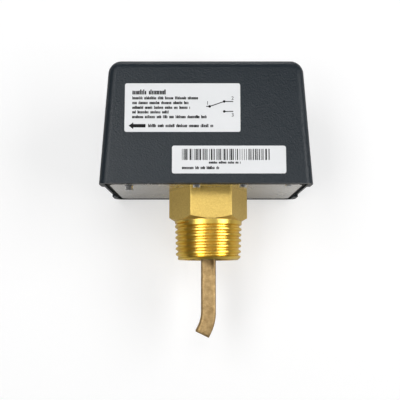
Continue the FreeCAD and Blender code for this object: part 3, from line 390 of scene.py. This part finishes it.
# %% Metals
brass_tumbled = new_finish("brass_tumbled", (0.80, 0.58, 0.17), (0.68, 0.47, 0.13), 0.42, 0.50, metallic=1.0,
                           clouds_scale=1100, amount=0.9, grain=1500, bump=0.8, depth=0.14)
brass_bright = new_finish("brass_bright", (0.92, 0.66, 0.14), (0.80, 0.53, 0.09), 0.28, 0.36, metallic=1.0,
                          clouds_scale=200, lines=(1.0, 1.0, 6.0), bump=0.06)
brass_cast = new_finish("brass_cast", (0.56, 0.385, 0.18), (0.30, 0.19, 0.075), 0.44, 0.58, metallic=0.85,
                        clouds_scale=340, amount=0.85, grain=1300, bump=0.8, depth=0.25)
steel_brushed = new_finish("steel_brushed", (0.90, 0.88, 0.84), (0.70, 0.68, 0.64), 0.22, 0.34, metallic=1.0,
                           clouds_scale=90, lines=(0.02, 1.0, 1.0), bump=0.6, depth=0.08)
steel_zinc = new_finish("steel_zinc", (0.78, 0.79, 0.80), (0.60, 0.60, 0.58), 0.24, 0.38, metallic=1.0,
                        clouds_scale=350, grain=2500, bump=0.10)
steel_sheet = new_finish("steel_sheet", (0.50, 0.51, 0.53), (0.40, 0.41, 0.42), 0.38, 0.50, metallic=1.0,
                         clouds_scale=160, lines=(0.03, 1.0, 0.03), bump=0.15)
steel_spring = new_finish("steel_spring", (0.55, 0.56, 0.58), (0.40, 0.40, 0.40), 0.25, 0.40, metallic=1.0,
                          clouds_scale=400, grain=3000, bump=0.1)
bronze_thin = new_finish("bronze_thin", (0.78, 0.50, 0.26), (0.55, 0.33, 0.17), 0.28, 0.42, metallic=1.0,
                         clouds_scale=300, grain=2500, bump=0.1)

# %% [markdown]
# The labels are white film with a faint gloss. Their print is made later as thin pieces of its own.

# %% Label film and ink
label_film = new_finish("label_film", (0.76, 0.77, 0.78), (0.72, 0.73, 0.74), 0.34, 0.42,
                        clouds_scale=80, grain=1500, bump=0.05)
label_ink = new_finish("label_ink", (0.006, 0.006, 0.007), (0.012, 0.012, 0.013), 0.60, 0.70,
                       clouds_scale=900, grain=3000, bump=0.05, Specular_IOR_Level=0.2)

# %% Finish of every solid
finishes = {
    cover_black: ["cover"],
    seal_rubber: ["cable_grommet", "cover_gasket", "body_seal"],
    label_film: ["rating_label", "serial_label"],
    brass_tumbled: ["hex_body", "lock_nut"],
    brass_bright: ["bellows_collar", "bellows_ring", "range_nut", "spring_seat", "terminal_common",
                   "terminal_normally_open", "terminal_normally_closed"],
    brass_cast: ["paddle_arm"],
    steel_brushed: ["base_plate"],
    steel_sheet: ["mechanism_frame", "wire_clip", "switch_lever"],
    steel_zinc: ["frame_screws", "pivot_pin", "pin_clips", "plate_nuts", "cover_posts", "earth_screw",
                 "clip_screw", "earth_washer", "lever_screws", "terminal_screws", "switch_screws",
                 "switch_nuts", "range_screw", "cover_screws"],
    steel_spring: ["range_spring"],
    bronze_thin: ["bellows"],
    switch_black: ["switch_case"],
    plunger_red: ["switch_plunger"],
}
for finish, nodes in finishes.items():
    for node in nodes:
        wear(node, finish)
dressed = {node for nodes in finishes.values() for node in nodes}
print("solids without a finish:", sorted(set(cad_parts) - dressed))

# %% [markdown]
# ## From a bmesh to a piece
#
# New pieces are shaped with bmesh operators, which keep the mesh open to change until the end. This helper
# closes such a shape into a named object, smooths what is round, keeps what is sharp, and ties the piece to
# the body that carries it.


# %% Piece helper
def finished(name, shape, body, surfaces, replaced=(), crease=32):
    """Make an object of a bmesh, with its finishes, on its body; edges over the crease angle stay sharp."""
    mesh = bpy.data.meshes.new(name)
    shape.to_mesh(mesh)
    shape.free()
    for surface in surfaces:
        mesh.materials.append(surface)
    mesh.shade_smooth()
    mesh.set_sharp_from_angle(angle=math.radians(crease))
    piece = bpy.data.objects.new(name, mesh)
    bpy.context.collection.objects.link(piece)
    if body:
        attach(piece, body)
    if replaced:
        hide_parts(*replaced)
    print(f"{name}: {len(mesh.polygons)} faces")
    return piece


def join_shapes(target, source):
    """Add a second bmesh to the first."""
    spare = bpy.data.meshes.new("spare")
    source.to_mesh(spare)
    source.free()
    target.from_mesh(spare)
    bpy.data.meshes.remove(spare)


# %% [markdown]
# A few short helpers pick out what the operators take: the whole shape, its open edges, or only the points of
# what an operator has made. The last one moves a point to a new distance from the upright axis.


# %% Picking helpers
def everything_in(shape):
    """All points, edges and faces of a bmesh."""
    return shape.verts[:] + shape.edges[:] + shape.faces[:]


def open_edges(shape):
    """The edges with a face on one side only."""
    return [edge for edge in shape.edges if edge.is_boundary]


def points_in(made):
    """The points among the results of an operator."""
    return [item for item in made if isinstance(item, bmesh.types.BMVert)]


def set_radius(vert, radius):
    """Move a point straight in or out to a distance from the Z axis."""
    scale = radius / math.hypot(vert.co.x, vert.co.y)
    vert.co.x *= scale
    vert.co.y *= scale


# %% [markdown]
# ## The brass body and its pipe thread
#
# A taper pipe thread is a V-shaped ridge that winds up a slender cone. A tooth profile is drawn once, and
# the spin operator turns it round the axis while it also climbs by one pitch in each turn. That makes one
# straight screw. Moving each point in or out by its height then gives the taper and the lead-in. The
# picture shows seven turns on this length, so the pitch follows the picture. The points of the tooth are
# given as shares of the pitch and of the tooth's depth.

# %% Thread sizes
thread_bottom = -19.4 * MM
thread_top = -0.3 * MM
crest_at_top = 33.81 / 2 * MM
taper = math.tan(math.radians(1.79))
thread_pitch = 2.78 * MM
tooth_depth = 1.15 * MM
bore_radius = 12.7 * MM
steps_per_turn = 96
SAME_POINT = 1e-6
ON_PLANE = 1e-7


def crest_radius(height):
    """Radius over the crests at a height."""
    return crest_at_top + height * taper


print("turns that show:", round((thread_top - thread_bottom) / thread_pitch, 1))

# %% Spin the tooth
thread = bmesh.new()
start = thread_bottom - 2 * thread_pitch
turns = math.ceil((thread_top - thread_bottom) / thread_pitch) + 3
tooth = [(0.0, 0.0), (0.10, 0.0), (0.36, 1.0), (0.64, 1.0), (0.90, 0.0), (1.0, 0.0)]
points = [
    thread.verts.new((crest_at_top - tooth_depth * (1 - rise), 0, start + along * thread_pitch))
    for along, rise in tooth
]
profile = [thread.edges.new(pair) for pair in zip(points, points[1:])]
bmesh.ops.spin(
    thread, geom=points + profile, cent=(0, 0, 0), axis=(0, 0, 1), angle=2 * math.pi * turns,
    steps=steps_per_turn * turns, dvec=(0, 0, thread_pitch / steps_per_turn),
)
bmesh.ops.remove_doubles(thread, verts=thread.verts, dist=SAME_POINT)
print("points on the screw:", len(thread.verts))

# %% Trim it and give it the taper
for height, keep_below in ((thread_top, True), (thread_bottom, False)):
    bmesh.ops.bisect_plane(
        thread, geom=everything_in(thread), dist=ON_PLANE, plane_co=(0, 0, height), plane_no=(0, 0, 1),
        clear_outer=keep_below, clear_inner=not keep_below,
    )
collar_height = 0.9 * MM
lead_in = 1.2 * MM
for vert in thread.verts:
    radius = math.hypot(vert.co.x, vert.co.y) + vert.co.z * taper
    if vert.co.z > thread_top - collar_height:
        radius = crest_radius(vert.co.z)
    limit = crest_radius(thread_bottom) - lead_in + (vert.co.z - thread_bottom)
    set_radius(vert, min(radius, limit))
bmesh.ops.remove_doubles(thread, verts=thread.verts, dist=SAME_POINT)
print("points left after trimming:", len(thread.verts))

# %% [markdown]
# The screw is still an open sleeve. Its two rims are extruded inwards to the bore, and a bridge between the
# inner rims makes the bore's wall.

# %% Close the sleeve with the bore
rims = []
for height in (thread_bottom, thread_top):
    rim = [
        edge for edge in open_edges(thread)
        if all(abs(vert.co.z - height) < SAME_POINT for vert in edge.verts)
    ]
    made = bmesh.ops.extrude_edge_only(thread, edges=rim)["geom"]
    for vert in points_in(made):
        set_radius(vert, bore_radius)
    rims += [item for item in made if isinstance(item, bmesh.types.BMEdge)]
bmesh.ops.bridge_loops(thread, edges=rims)
bmesh.ops.recalc_face_normals(thread, faces=thread.faces)
for face in thread.faces:
    face.material_index = 1
print("open edges left on the thread:", len(open_edges(thread)))

# %% [markdown]
# The hexagon above keeps its exact form: a copy of the solid is merged, cut just below the shoulder, closed
# there by a bridge between the outer and the inner rim, and joined with the new thread. The copy is loose
# triangles, so its doubles are merged before it is cut, and flat triangles become whole faces after it.

# %% Hexagon from the solid
FLAT = math.radians(0.5)
body_shape = bmesh.new()
body_shape.from_mesh(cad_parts["hex_body"].data)
bmesh.ops.remove_doubles(body_shape, verts=body_shape.verts, dist=SAME_POINT)
bmesh.ops.bisect_plane(
    body_shape, geom=everything_in(body_shape), dist=ON_PLANE, plane_co=(0, 0, thread_top),
    plane_no=(0, 0, -1), clear_outer=True,
)
bmesh.ops.bridge_loops(body_shape, edges=open_edges(body_shape))
bmesh.ops.dissolve_limit(body_shape, angle_limit=FLAT, verts=body_shape.verts, edges=body_shape.edges)
print("faces of the hexagon and what is above it:", len(body_shape.faces))

# %% [markdown]
# Tumbling rounds the six upright corners of the hexagon a little, which shows as a soft light line on each.
# The chamfer meets the flats at only 30 degrees, so the crease angle is smaller here: with a larger one the
# flats would be shaded as if they were bowed.

# %% Corners of the hexagon
corner_rounding = 0.45 * MM
shortest_corner = 8 * MM
flattest_corner = math.radians(50)


def is_upright_corner(edge):
    """True for the six long edges between the flats."""
    length = edge.calc_length()
    rise = abs(edge.verts[0].co.z - edge.verts[1].co.z)
    return length > shortest_corner and rise > 0.99 * length and edge.calc_face_angle() > flattest_corner


corners = [edge for edge in body_shape.edges if is_upright_corner(edge)]
bmesh.ops.bevel(body_shape, geom=corners, offset=corner_rounding, affect="EDGES", segments=3, profile=0.5,
                material=-1)
print("edges of the hexagon that are rounded:", len(corners))
for face in body_shape.faces:
    face.material_index = 0
join_shapes(body_shape, thread)
finished("brass_body", body_shape, "base", [brass_tumbled, brass_bright], ["hex_body"],
         crease=8)

# %% [markdown]
# ## The arm's worn tip
#
# The arm is cast and then tumbled, so the rim of its end face is rounded off. The end face is the largest
# face of the solid that looks down, and its edges take a bevel.

# %% Tip of the arm
tip_rounding = 1.1 * MM
arm_shape = bmesh.new()
arm_shape.from_mesh(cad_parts["paddle_arm"].data)
bmesh.ops.remove_doubles(arm_shape, verts=arm_shape.verts, dist=SAME_POINT)
bmesh.ops.dissolve_limit(arm_shape, angle_limit=FLAT, verts=arm_shape.verts, edges=arm_shape.edges)
looking_down = [face for face in arm_shape.faces if face.normal.z < -0.8]
end_face = max(looking_down, key=lambda face: face.calc_area())
print("end face in square mm:", round(end_face.calc_area() / MM ** 2, 1))
bmesh.ops.bevel(arm_shape, geom=list(end_face.edges), offset=tip_rounding, affect="EDGES", segments=4,
                profile=0.5, material=-1)
finished("worn_arm", arm_shape, "arm", [brass_cast], ["paddle_arm"])

# %% [markdown]
# ## The range spring
#
# The frame holds a plain sleeve where the coil spring is. A wire circle spun round the axis, with a climb
# in each step, is the real coil. Its upper end sits at the nut on the range screw and its lower end at the
# arm. A piece can only blend across one joint, so the coil is cut at half its height.

# %% Coil
spring_low, spring_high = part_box("range_spring")
spring_axis = (spring_low + spring_high) / 2
wire_radius = 0.6 * MM
wire_sides = 10
coil_radius = (spring_high.x - spring_low.x) / 2 - wire_radius
coil_turns = 5.5
steps_per_coil = 36
coil_steps = int(steps_per_coil * coil_turns)
coil_rise = spring_high.z - spring_low.z - 2 * wire_radius
coil = bmesh.new()
ring = bmesh.ops.create_circle(coil, segments=wire_sides, radius=wire_radius, cap_ends=False)["verts"]
bmesh.ops.rotate(coil, verts=ring, matrix=Matrix.Rotation(math.radians(90), 3, "X"))
wire_start = (spring_axis.x + coil_radius, spring_axis.y, spring_low.z + wire_radius)
bmesh.ops.translate(coil, verts=ring, vec=wire_start)
bmesh.ops.spin(
    coil, geom=everything_in(coil), cent=spring_axis, axis=(0, 0, 1),
    angle=2 * math.pi * coil_turns, steps=coil_steps, dvec=(0, 0, coil_rise / coil_steps),
)
bmesh.ops.holes_fill(coil, edges=open_edges(coil), sides=wire_sides)
bmesh.ops.recalc_face_normals(coil, faces=coil.faces)
print("faces of the whole coil:", len(coil.faces))

# %% Two halves of the coil
for half, mover, end in (("upper", "range_follower", spring_high.z), ("lower", "arm", spring_low.z)):
    part = coil.copy()
    bmesh.ops.bisect_plane(
        part, geom=everything_in(part), dist=ON_PLANE, plane_co=spring_axis, plane_no=(0, 0, 1),
        clear_inner=half == "upper", clear_outer=half == "lower",
    )
    bmesh.ops.holes_fill(part, edges=open_edges(part), sides=0)
    bmesh.ops.recalc_face_normals(part, faces=part.faces)
    coil_half = finished(f"{half}_coil", part, None, [steel_spring], ["range_spring"])
    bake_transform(coil_half)
coil.free()

# %% [markdown]
# ## The bellows
#
# A bellows seals the arm against the water and still lets it swing. Its wall is a thin wave, so a zigzag
# line is spun round the axis and then given a thickness.

# %% Folded wall
bellows_low, bellows_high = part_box("bellows")
fold_outer = 8.8 * MM
fold_inner = 6.7 * MM
fold_rounding = 0.35 * MM
bellows_wall = 0.15 * MM
flange_radius = bellows_high.x - 0.05 * MM
folds = 6
steps_round_bellows = 64
fold_top = bellows_high.z - 0.5 * MM
fold_bottom = bellows_low.z + 0.1 * MM
wave = bmesh.new()
line = [wave.verts.new((flange_radius, 0, fold_top))]
for step in range(2 * folds + 1):
    radius = fold_inner if step % 2 == 0 else fold_outer
    line.append(wave.verts.new((radius, 0, fold_top + (fold_bottom - fold_top) * step / (2 * folds))))
for pair in zip(line, line[1:]):
    wave.edges.new(pair)
bmesh.ops.bevel(wave, geom=line[2:-1], offset=fold_rounding, affect="VERTICES", segments=3, profile=0.5,
                material=-1)
bmesh.ops.spin(
    wave, geom=everything_in(wave), cent=(0, 0, 0), axis=(0, 0, 1), angle=2 * math.pi,
    steps=steps_round_bellows, use_merge=True,
)
bmesh.ops.recalc_face_normals(wave, faces=wave.faces)
bmesh.ops.solidify(wave, geom=wave.faces, thickness=bellows_wall)
bmesh.ops.recalc_face_normals(wave, faces=wave.faces)
folded_bellows = finished("folded_bellows", wave, None, [bronze_thin], ["bellows"])
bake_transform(folded_bellows)

# %% [markdown]
# ## Print on the labels
#
# The labels carry small print, an arrow for the direction of flow, a row of bars and a little diagram of the
# switch: a contact that changes over between terminals 2 and 3. The ink is a few hundredths of a millimetre
# thick, so thin boxes lie on the film. A line of print is a row of upright dashes in groups: from a normal
# distance it has the tone of small words, and from close up it spells nothing. Each drawing is made flat, in
# millimetres from the label's lower left corner, and one matrix lays it on the leaning front wall.

# %% Plane of a label
wall_lean = math.radians(3.6)
film_thickness = 0.15 * MM
ink_thickness = 0.03


def label_plane(node):
    """The matrix that lays a flat drawing in millimetres on the outer face of a label."""
    low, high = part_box(node)
    lean, rise = math.sin(wall_lean), math.cos(wall_lean)
    turn = Matrix(((1, 0, 0), (0, lean, -rise), (0, rise, lean))).to_4x4()
    corner = Vector((low.x, low.y, low.z + film_thickness * lean))
    return Matrix.Translation(corner) @ turn @ Matrix.Scale(MM, 4)


for node in ("rating_label", "serial_label"):
    low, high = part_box(node)
    width, height = (high.x - low.x) / MM, (high.z - low.z) / MM / math.cos(wall_lean)
    print(node, "size in mm:", round(width, 1), round(height, 1))

# %% Ink strokes
DASH_PITCH = 0.30
WORD_GAP = 1.7
FIGURE_SHARE = 0.7


def ink_block(drawing, left, bottom, width, height):
    """A flat box of ink."""
    middle = Matrix.Translation((left + width / 2, bottom + height / 2, ink_thickness / 2))
    bmesh.ops.create_cube(drawing, size=1, matrix=middle @ Matrix.Diagonal((width, height, ink_thickness, 1)))


def ink_line(drawing, left, bottom, width, height, chance):
    """A line of small print: dashes of uneven height in groups, as words are."""
    pitch = DASH_PITCH * height
    along = left
    while along < left + width - pitch:
        dashes = chance.randint(4, 13)
        for _ in range(dashes):
            if along < left + width - pitch:
                tall = height * chance.choice((0.72, 0.76, 0.76, 1.0))
                ink_block(drawing, along, bottom, pitch * chance.uniform(0.70, 0.95), tall)
                along += pitch
        along += WORD_GAP * pitch


def ink_shape(drawing, outline):
    """A flat piece of ink inside an outline."""
    corners = [drawing.verts.new((x, y, 0)) for x, y in outline]
    face = drawing.faces.new(corners)
    top = bmesh.ops.extrude_face_region(drawing, geom=[face])["geom"]
    bmesh.ops.translate(drawing, verts=points_in(top), vec=(0, 0, ink_thickness))


def ink_number(drawing, text, left, bottom, height):
    """A plain number as high as the height; a figure takes up a share of the font's size."""
    curve = bpy.data.curves.new("number", "FONT")
    curve.body = text
    curve.size = height / FIGURE_SHARE
    curve.extrude = ink_thickness / 2
    holder = bpy.data.objects.new("number", curve)
    letters = bpy.data.meshes.new_from_object(holder)
    letters.transform(Matrix.Translation((left, bottom, ink_thickness / 2)))
    drawing.from_mesh(letters)
    bpy.data.objects.remove(holder)
    bpy.data.curves.remove(curve)
    bpy.data.meshes.remove(letters)


def printed(name, drawing, node):
    """Lay a drawing on its label and finish it as ink on the cover."""
    bmesh.ops.recalc_face_normals(drawing, faces=drawing.faces)
    bmesh.ops.transform(drawing, matrix=label_plane(node), verts=drawing.verts)
    finished(name, drawing, "cover_assembly", [label_ink])


# %% Rating label
chance = random.Random(7)
rating = bmesh.new()
text_left = 3.5
small_print = 1.45
ink_line(rating, text_left, bottom=18.0, width=16.2, height=2.4, chance=chance)
for bottom, width in ((15.6, 31.0), (13.3, 26.4), (11.0, 27.3), (8.8, 17.4), (6.5, 35.0)):
    ink_line(rating, text_left, bottom, width, small_print, chance)
arrow_tip, arrow_neck, arrow_end = 1.9, 4.1, 9.8
arrow_middle, arrow_half, shaft_half = 2.9, 1.6, 0.8
ink_shape(rating, [
    (arrow_tip, arrow_middle),
    (arrow_neck, arrow_middle - arrow_half),
    (arrow_neck, arrow_middle - shaft_half),
    (arrow_end, arrow_middle - shaft_half),
    (arrow_end, arrow_middle + shaft_half),
    (arrow_neck, arrow_middle + shaft_half),
    (arrow_neck, arrow_middle + arrow_half),
])
ink_line(rating, left=11.0, bottom=2.2, width=30.5, height=1.55, chance=chance)
print("faces of print so far:", len(rating.faces))

# %% Contact diagram
common, closed_row, open_row = (39.6, 12.2), 14.6, 9.8
contact_column, wire_end, wire = 46.4, 50.6, 0.42
stub, dot_radius, number_height = 1.6, 0.62, 1.7
number_left = wire_end - 0.9
above_lever, above_wire, below_wire = 0.9, 0.8, 2.5
half_ink = ink_thickness / 2
lever_length = math.hypot(contact_column - common[0], closed_row - common[1])
lever_turn = math.atan2(closed_row - common[1], contact_column - common[0])
lever_centre = ((common[0] + contact_column) / 2, (common[1] + closed_row) / 2, half_ink)
lever_size = Matrix.Diagonal((lever_length, wire, ink_thickness, 1))
lever_place = Matrix.Translation(lever_centre) @ Matrix.Rotation(lever_turn, 4, "Z") @ lever_size
bmesh.ops.create_cube(rating, size=1, matrix=lever_place)
ink_block(rating, common[0] - stub, common[1] - wire / 2, stub, wire)
for row in (closed_row, open_row):
    ink_block(rating, contact_column, row - wire / 2, wire_end - contact_column, wire)
for x, y in (common, (contact_column, closed_row), (contact_column, open_row)):
    bmesh.ops.create_cone(
        rating, cap_ends=True, segments=16, radius1=dot_radius, radius2=dot_radius, depth=ink_thickness,
        matrix=Matrix.Translation((x, y, half_ink)),
    )
ink_number(rating, "1", common[0] - stub, common[1] + above_lever, number_height)
ink_number(rating, "2", number_left, closed_row + above_wire, number_height)
ink_number(rating, "3", number_left, open_row - below_wire, number_height)
printed("rating_print", rating, "rating_label")

# %% Serial label
serial = bmesh.new()
bars_left, bars_right = 4.6, 44.6
bars_bottom, bars_height = 6.3, 5.3
along = bars_left
while along < bars_right:
    bar = chance.choice((0.24, 0.24, 0.48, 0.72))
    ink_block(serial, along, bars_bottom, bar, bars_height)
    along += bar + chance.choice((0.28, 0.28, 0.52, 0.76))
ink_line(serial, left=17.0, bottom=4.6, width=15.0, height=1.2, chance=chance)
ink_line(serial, bars_left, bottom=2.0, width=17.3, height=1.4, chance=chance)
printed("serial_print", serial, "serial_label")

# %% [markdown]
# ## The screws
#
# The solids hold plain screws: a rod with a head. The real ones are pan head machine screws with a cross
# recess, and the range screw has a slot. One profile runs from the edge of the head's top down over the head
# and the thread to the tip, and a full spin turns it round the axis. A thread as fine as this only shows its
# grooves, so rings stand for the helix.

# %% Profile of a screw
head_outline = [(0.40, 1.0), (0.465, 0.82), (0.5, 0.45), (0.5, 0.0)]
groove_depth = 0.32


def screw_profile(head, head_height, shank, length, pitch):
    """Radius and height of the points from the head's top to the tip, with the seat of the head at zero."""
    points = [(across * head, up * head_height) for across, up in head_outline]
    points.append((0.5 * shank, 0))
    depth = groove_depth * pitch
    along = 0.25 * pitch
    while along + pitch < length:
        points += [(0.5 * shank - depth, -along - 0.5 * pitch), (0.5 * shank, -along - pitch)]
        along += pitch
    return points + [(0.5 * shank - 0.5 * pitch, -length)]


print("points of a screw of 4 by 16 mm:", len(screw_profile(7.2, 2.4, 4, 16, 0.7)))

# %% [markdown]
# A recess is cut into the flat top: planes along its edges divide the top into smaller faces, and the faces
# inside the recess are extruded and pushed down into the head. Widths and reach are shares of the head's
# width, and depths are shares of its height.

# %% Recesses
slot_half, slot_depth = 0.07, 0.55
cross_half, cross_reach, cross_depth = 0.075, 0.28, 0.6


def push_recess(screw, inside, cuts, head_height, depth):
    """Cut the head's top along planes and push the faces inside the recess down."""
    def top_faces():
        return [face for face in screw.faces if all(abs(v.co.z - head_height) < ON_PLANE for v in face.verts)]

    for normal, offset in cuts:
        parts = {item for face in top_faces() for item in (*face.verts, *face.edges, face)}
        bmesh.ops.bisect_plane(
            screw, geom=list(parts), dist=ON_PLANE / 10, plane_co=Vector(normal) * offset, plane_no=normal
        )
    floor = [face for face in top_faces() if inside(face.calc_center_median())]
    made = bmesh.ops.extrude_face_region(screw, geom=floor)["geom"]
    bmesh.ops.translate(screw, verts=points_in(made), vec=(0, 0, -depth))
    bmesh.ops.delete(screw, geom=floor, context="FACES")


def cut_slot(screw, head, head_height):
    """A slot right across the head."""
    half = slot_half * head
    push_recess(screw, lambda at: abs(at.y) < half, [((0, 1, 0), half), ((0, 1, 0), -half)],
                head_height, slot_depth * head_height)


def cut_cross(screw, head, head_height):
    """A cross recess in the middle of the head."""
    half, reach = cross_half * head, cross_reach * head
    cuts = [(normal, sign * offset) for normal in ((1, 0, 0), (0, 1, 0)) for sign in (1, -1)
            for offset in (half, reach)]
    push_recess(screw, lambda at: min(abs(at.x), abs(at.y)) < half and max(abs(at.x), abs(at.y)) < reach,
                cuts, head_height, cross_depth * head_height)


# %% Machine screw
steps_round_screw = 28


def machine_screw(target, seat, turn, length, recess, head, head_height, shank, pitch):
    """Add one screw to a mesh: sizes in millimetres, seat is the middle of the head's underside."""
    screw = bmesh.new()
    line = [screw.verts.new((radius * MM, 0, height * MM))
            for radius, height in screw_profile(head, head_height, shank, length, pitch)]
    edges = [screw.edges.new(pair) for pair in zip(line, line[1:])]
    bmesh.ops.spin(screw, geom=line + edges, cent=(0, 0, 0), axis=(0, 0, 1), angle=2 * math.pi,
                   steps=steps_round_screw, use_merge=True)
    bmesh.ops.holes_fill(screw, edges=open_edges(screw), sides=steps_round_screw)
    recess(screw, head * MM, head_height * MM)
    bmesh.ops.transform(screw, matrix=Matrix.Translation(Vector(seat) * MM) @ turn, verts=screw.verts)
    bmesh.ops.recalc_face_normals(screw, faces=screw.faces)
    join_shapes(target, screw)


# %% [markdown]
# The places come from the frame. The screws of one node stand in a row along X, all alike, so the box of
# their solid tells the seat of the first and the last head, and how far the shanks reach.

# %% Seats of a row of screws
UPRIGHT = Matrix.Rotation(math.radians(20), 4, "Z")
FACING_FRONT = Matrix.Rotation(math.radians(90), 4, "X") @ Matrix.Rotation(math.radians(35), 4, "Z")


def seats_and_length(node, count, turn, head, head_height):
    """The seats of the heads and the length below them, in millimetres."""
    low, high = (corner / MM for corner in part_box(node))
    middle = (low + high) / 2
    if turn is FACING_FRONT:
        first = Vector((low.x + head / 2, low.y + head_height, middle.z))
        length = high.y - first.y
    else:
        first = Vector((low.x + head / 2, middle.y, high.z - head_height))
        length = first.z - low.z
    step = Vector(((high.x - low.x - head) / max(count - 1, 1), 0, 0))
    return [first + place * step for place in range(count)], length


print("seats of the cover screws:", seats_and_length("cover_screws", 2, UPRIGHT, 7.2, 2.4))

# %% [markdown]
# Each row of the table replaces one node of the frame. It gives the body that carries the screws, how many
# there are, the way they point, their recess, and then, in millimetres, the width and height of the head, the
# width of the shank and the pitch of the thread.

# %% Screws in their places
screw_rows = {
    "cover_screws": ("cover_assembly", 2, UPRIGHT, cut_cross, 7.2, 2.4, 4, 0.7),
    "frame_screws": ("base", 2, UPRIGHT, cut_cross, 6, 2.2, 4, 0.7),
    "earth_screw": ("base", 1, UPRIGHT, cut_cross, 7, 2.4, 4, 0.7),
    "clip_screw": ("base", 1, UPRIGHT, cut_cross, 7, 2.4, 4, 0.7),
    "terminal_screws": ("base", 3, UPRIGHT, cut_cross, 6.2, 2.4, 3.5, 0.6),
    "lever_screws": ("arm", 2, UPRIGHT, cut_cross, 5.4, 1.8, 3, 0.5),
    "switch_screws": ("base", 2, FACING_FRONT, cut_cross, 7, 2.4, 4, 0.7),
    "range_screw": ("range_adjuster", 1, UPRIGHT, cut_slot, 9, 2.5, 5, 0.8),
}
for node, (body, count, turn, recess, head, head_height, shank, pitch) in screw_rows.items():
    batch = bmesh.new()
    seats, length = seats_and_length(node, count, turn, head, head_height)
    for seat in seats:
        machine_screw(batch, seat, turn, length, recess, head, head_height, shank, pitch)
    low = Vector([min(vert.co[axis] for vert in batch.verts) for axis in range(3)])
    high = Vector([max(vert.co[axis] for vert in batch.verts) for axis in range(3)])
    solid_low, solid_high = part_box(node)
    apart = max(abs(value) for value in (*(low - solid_low), *(high - solid_high)))
    print(node, "leaves the solid's box by at most", round(apart / MM, 2), "mm")
    finished(f"{node}_cut", batch, body, [steel_zinc], [node])
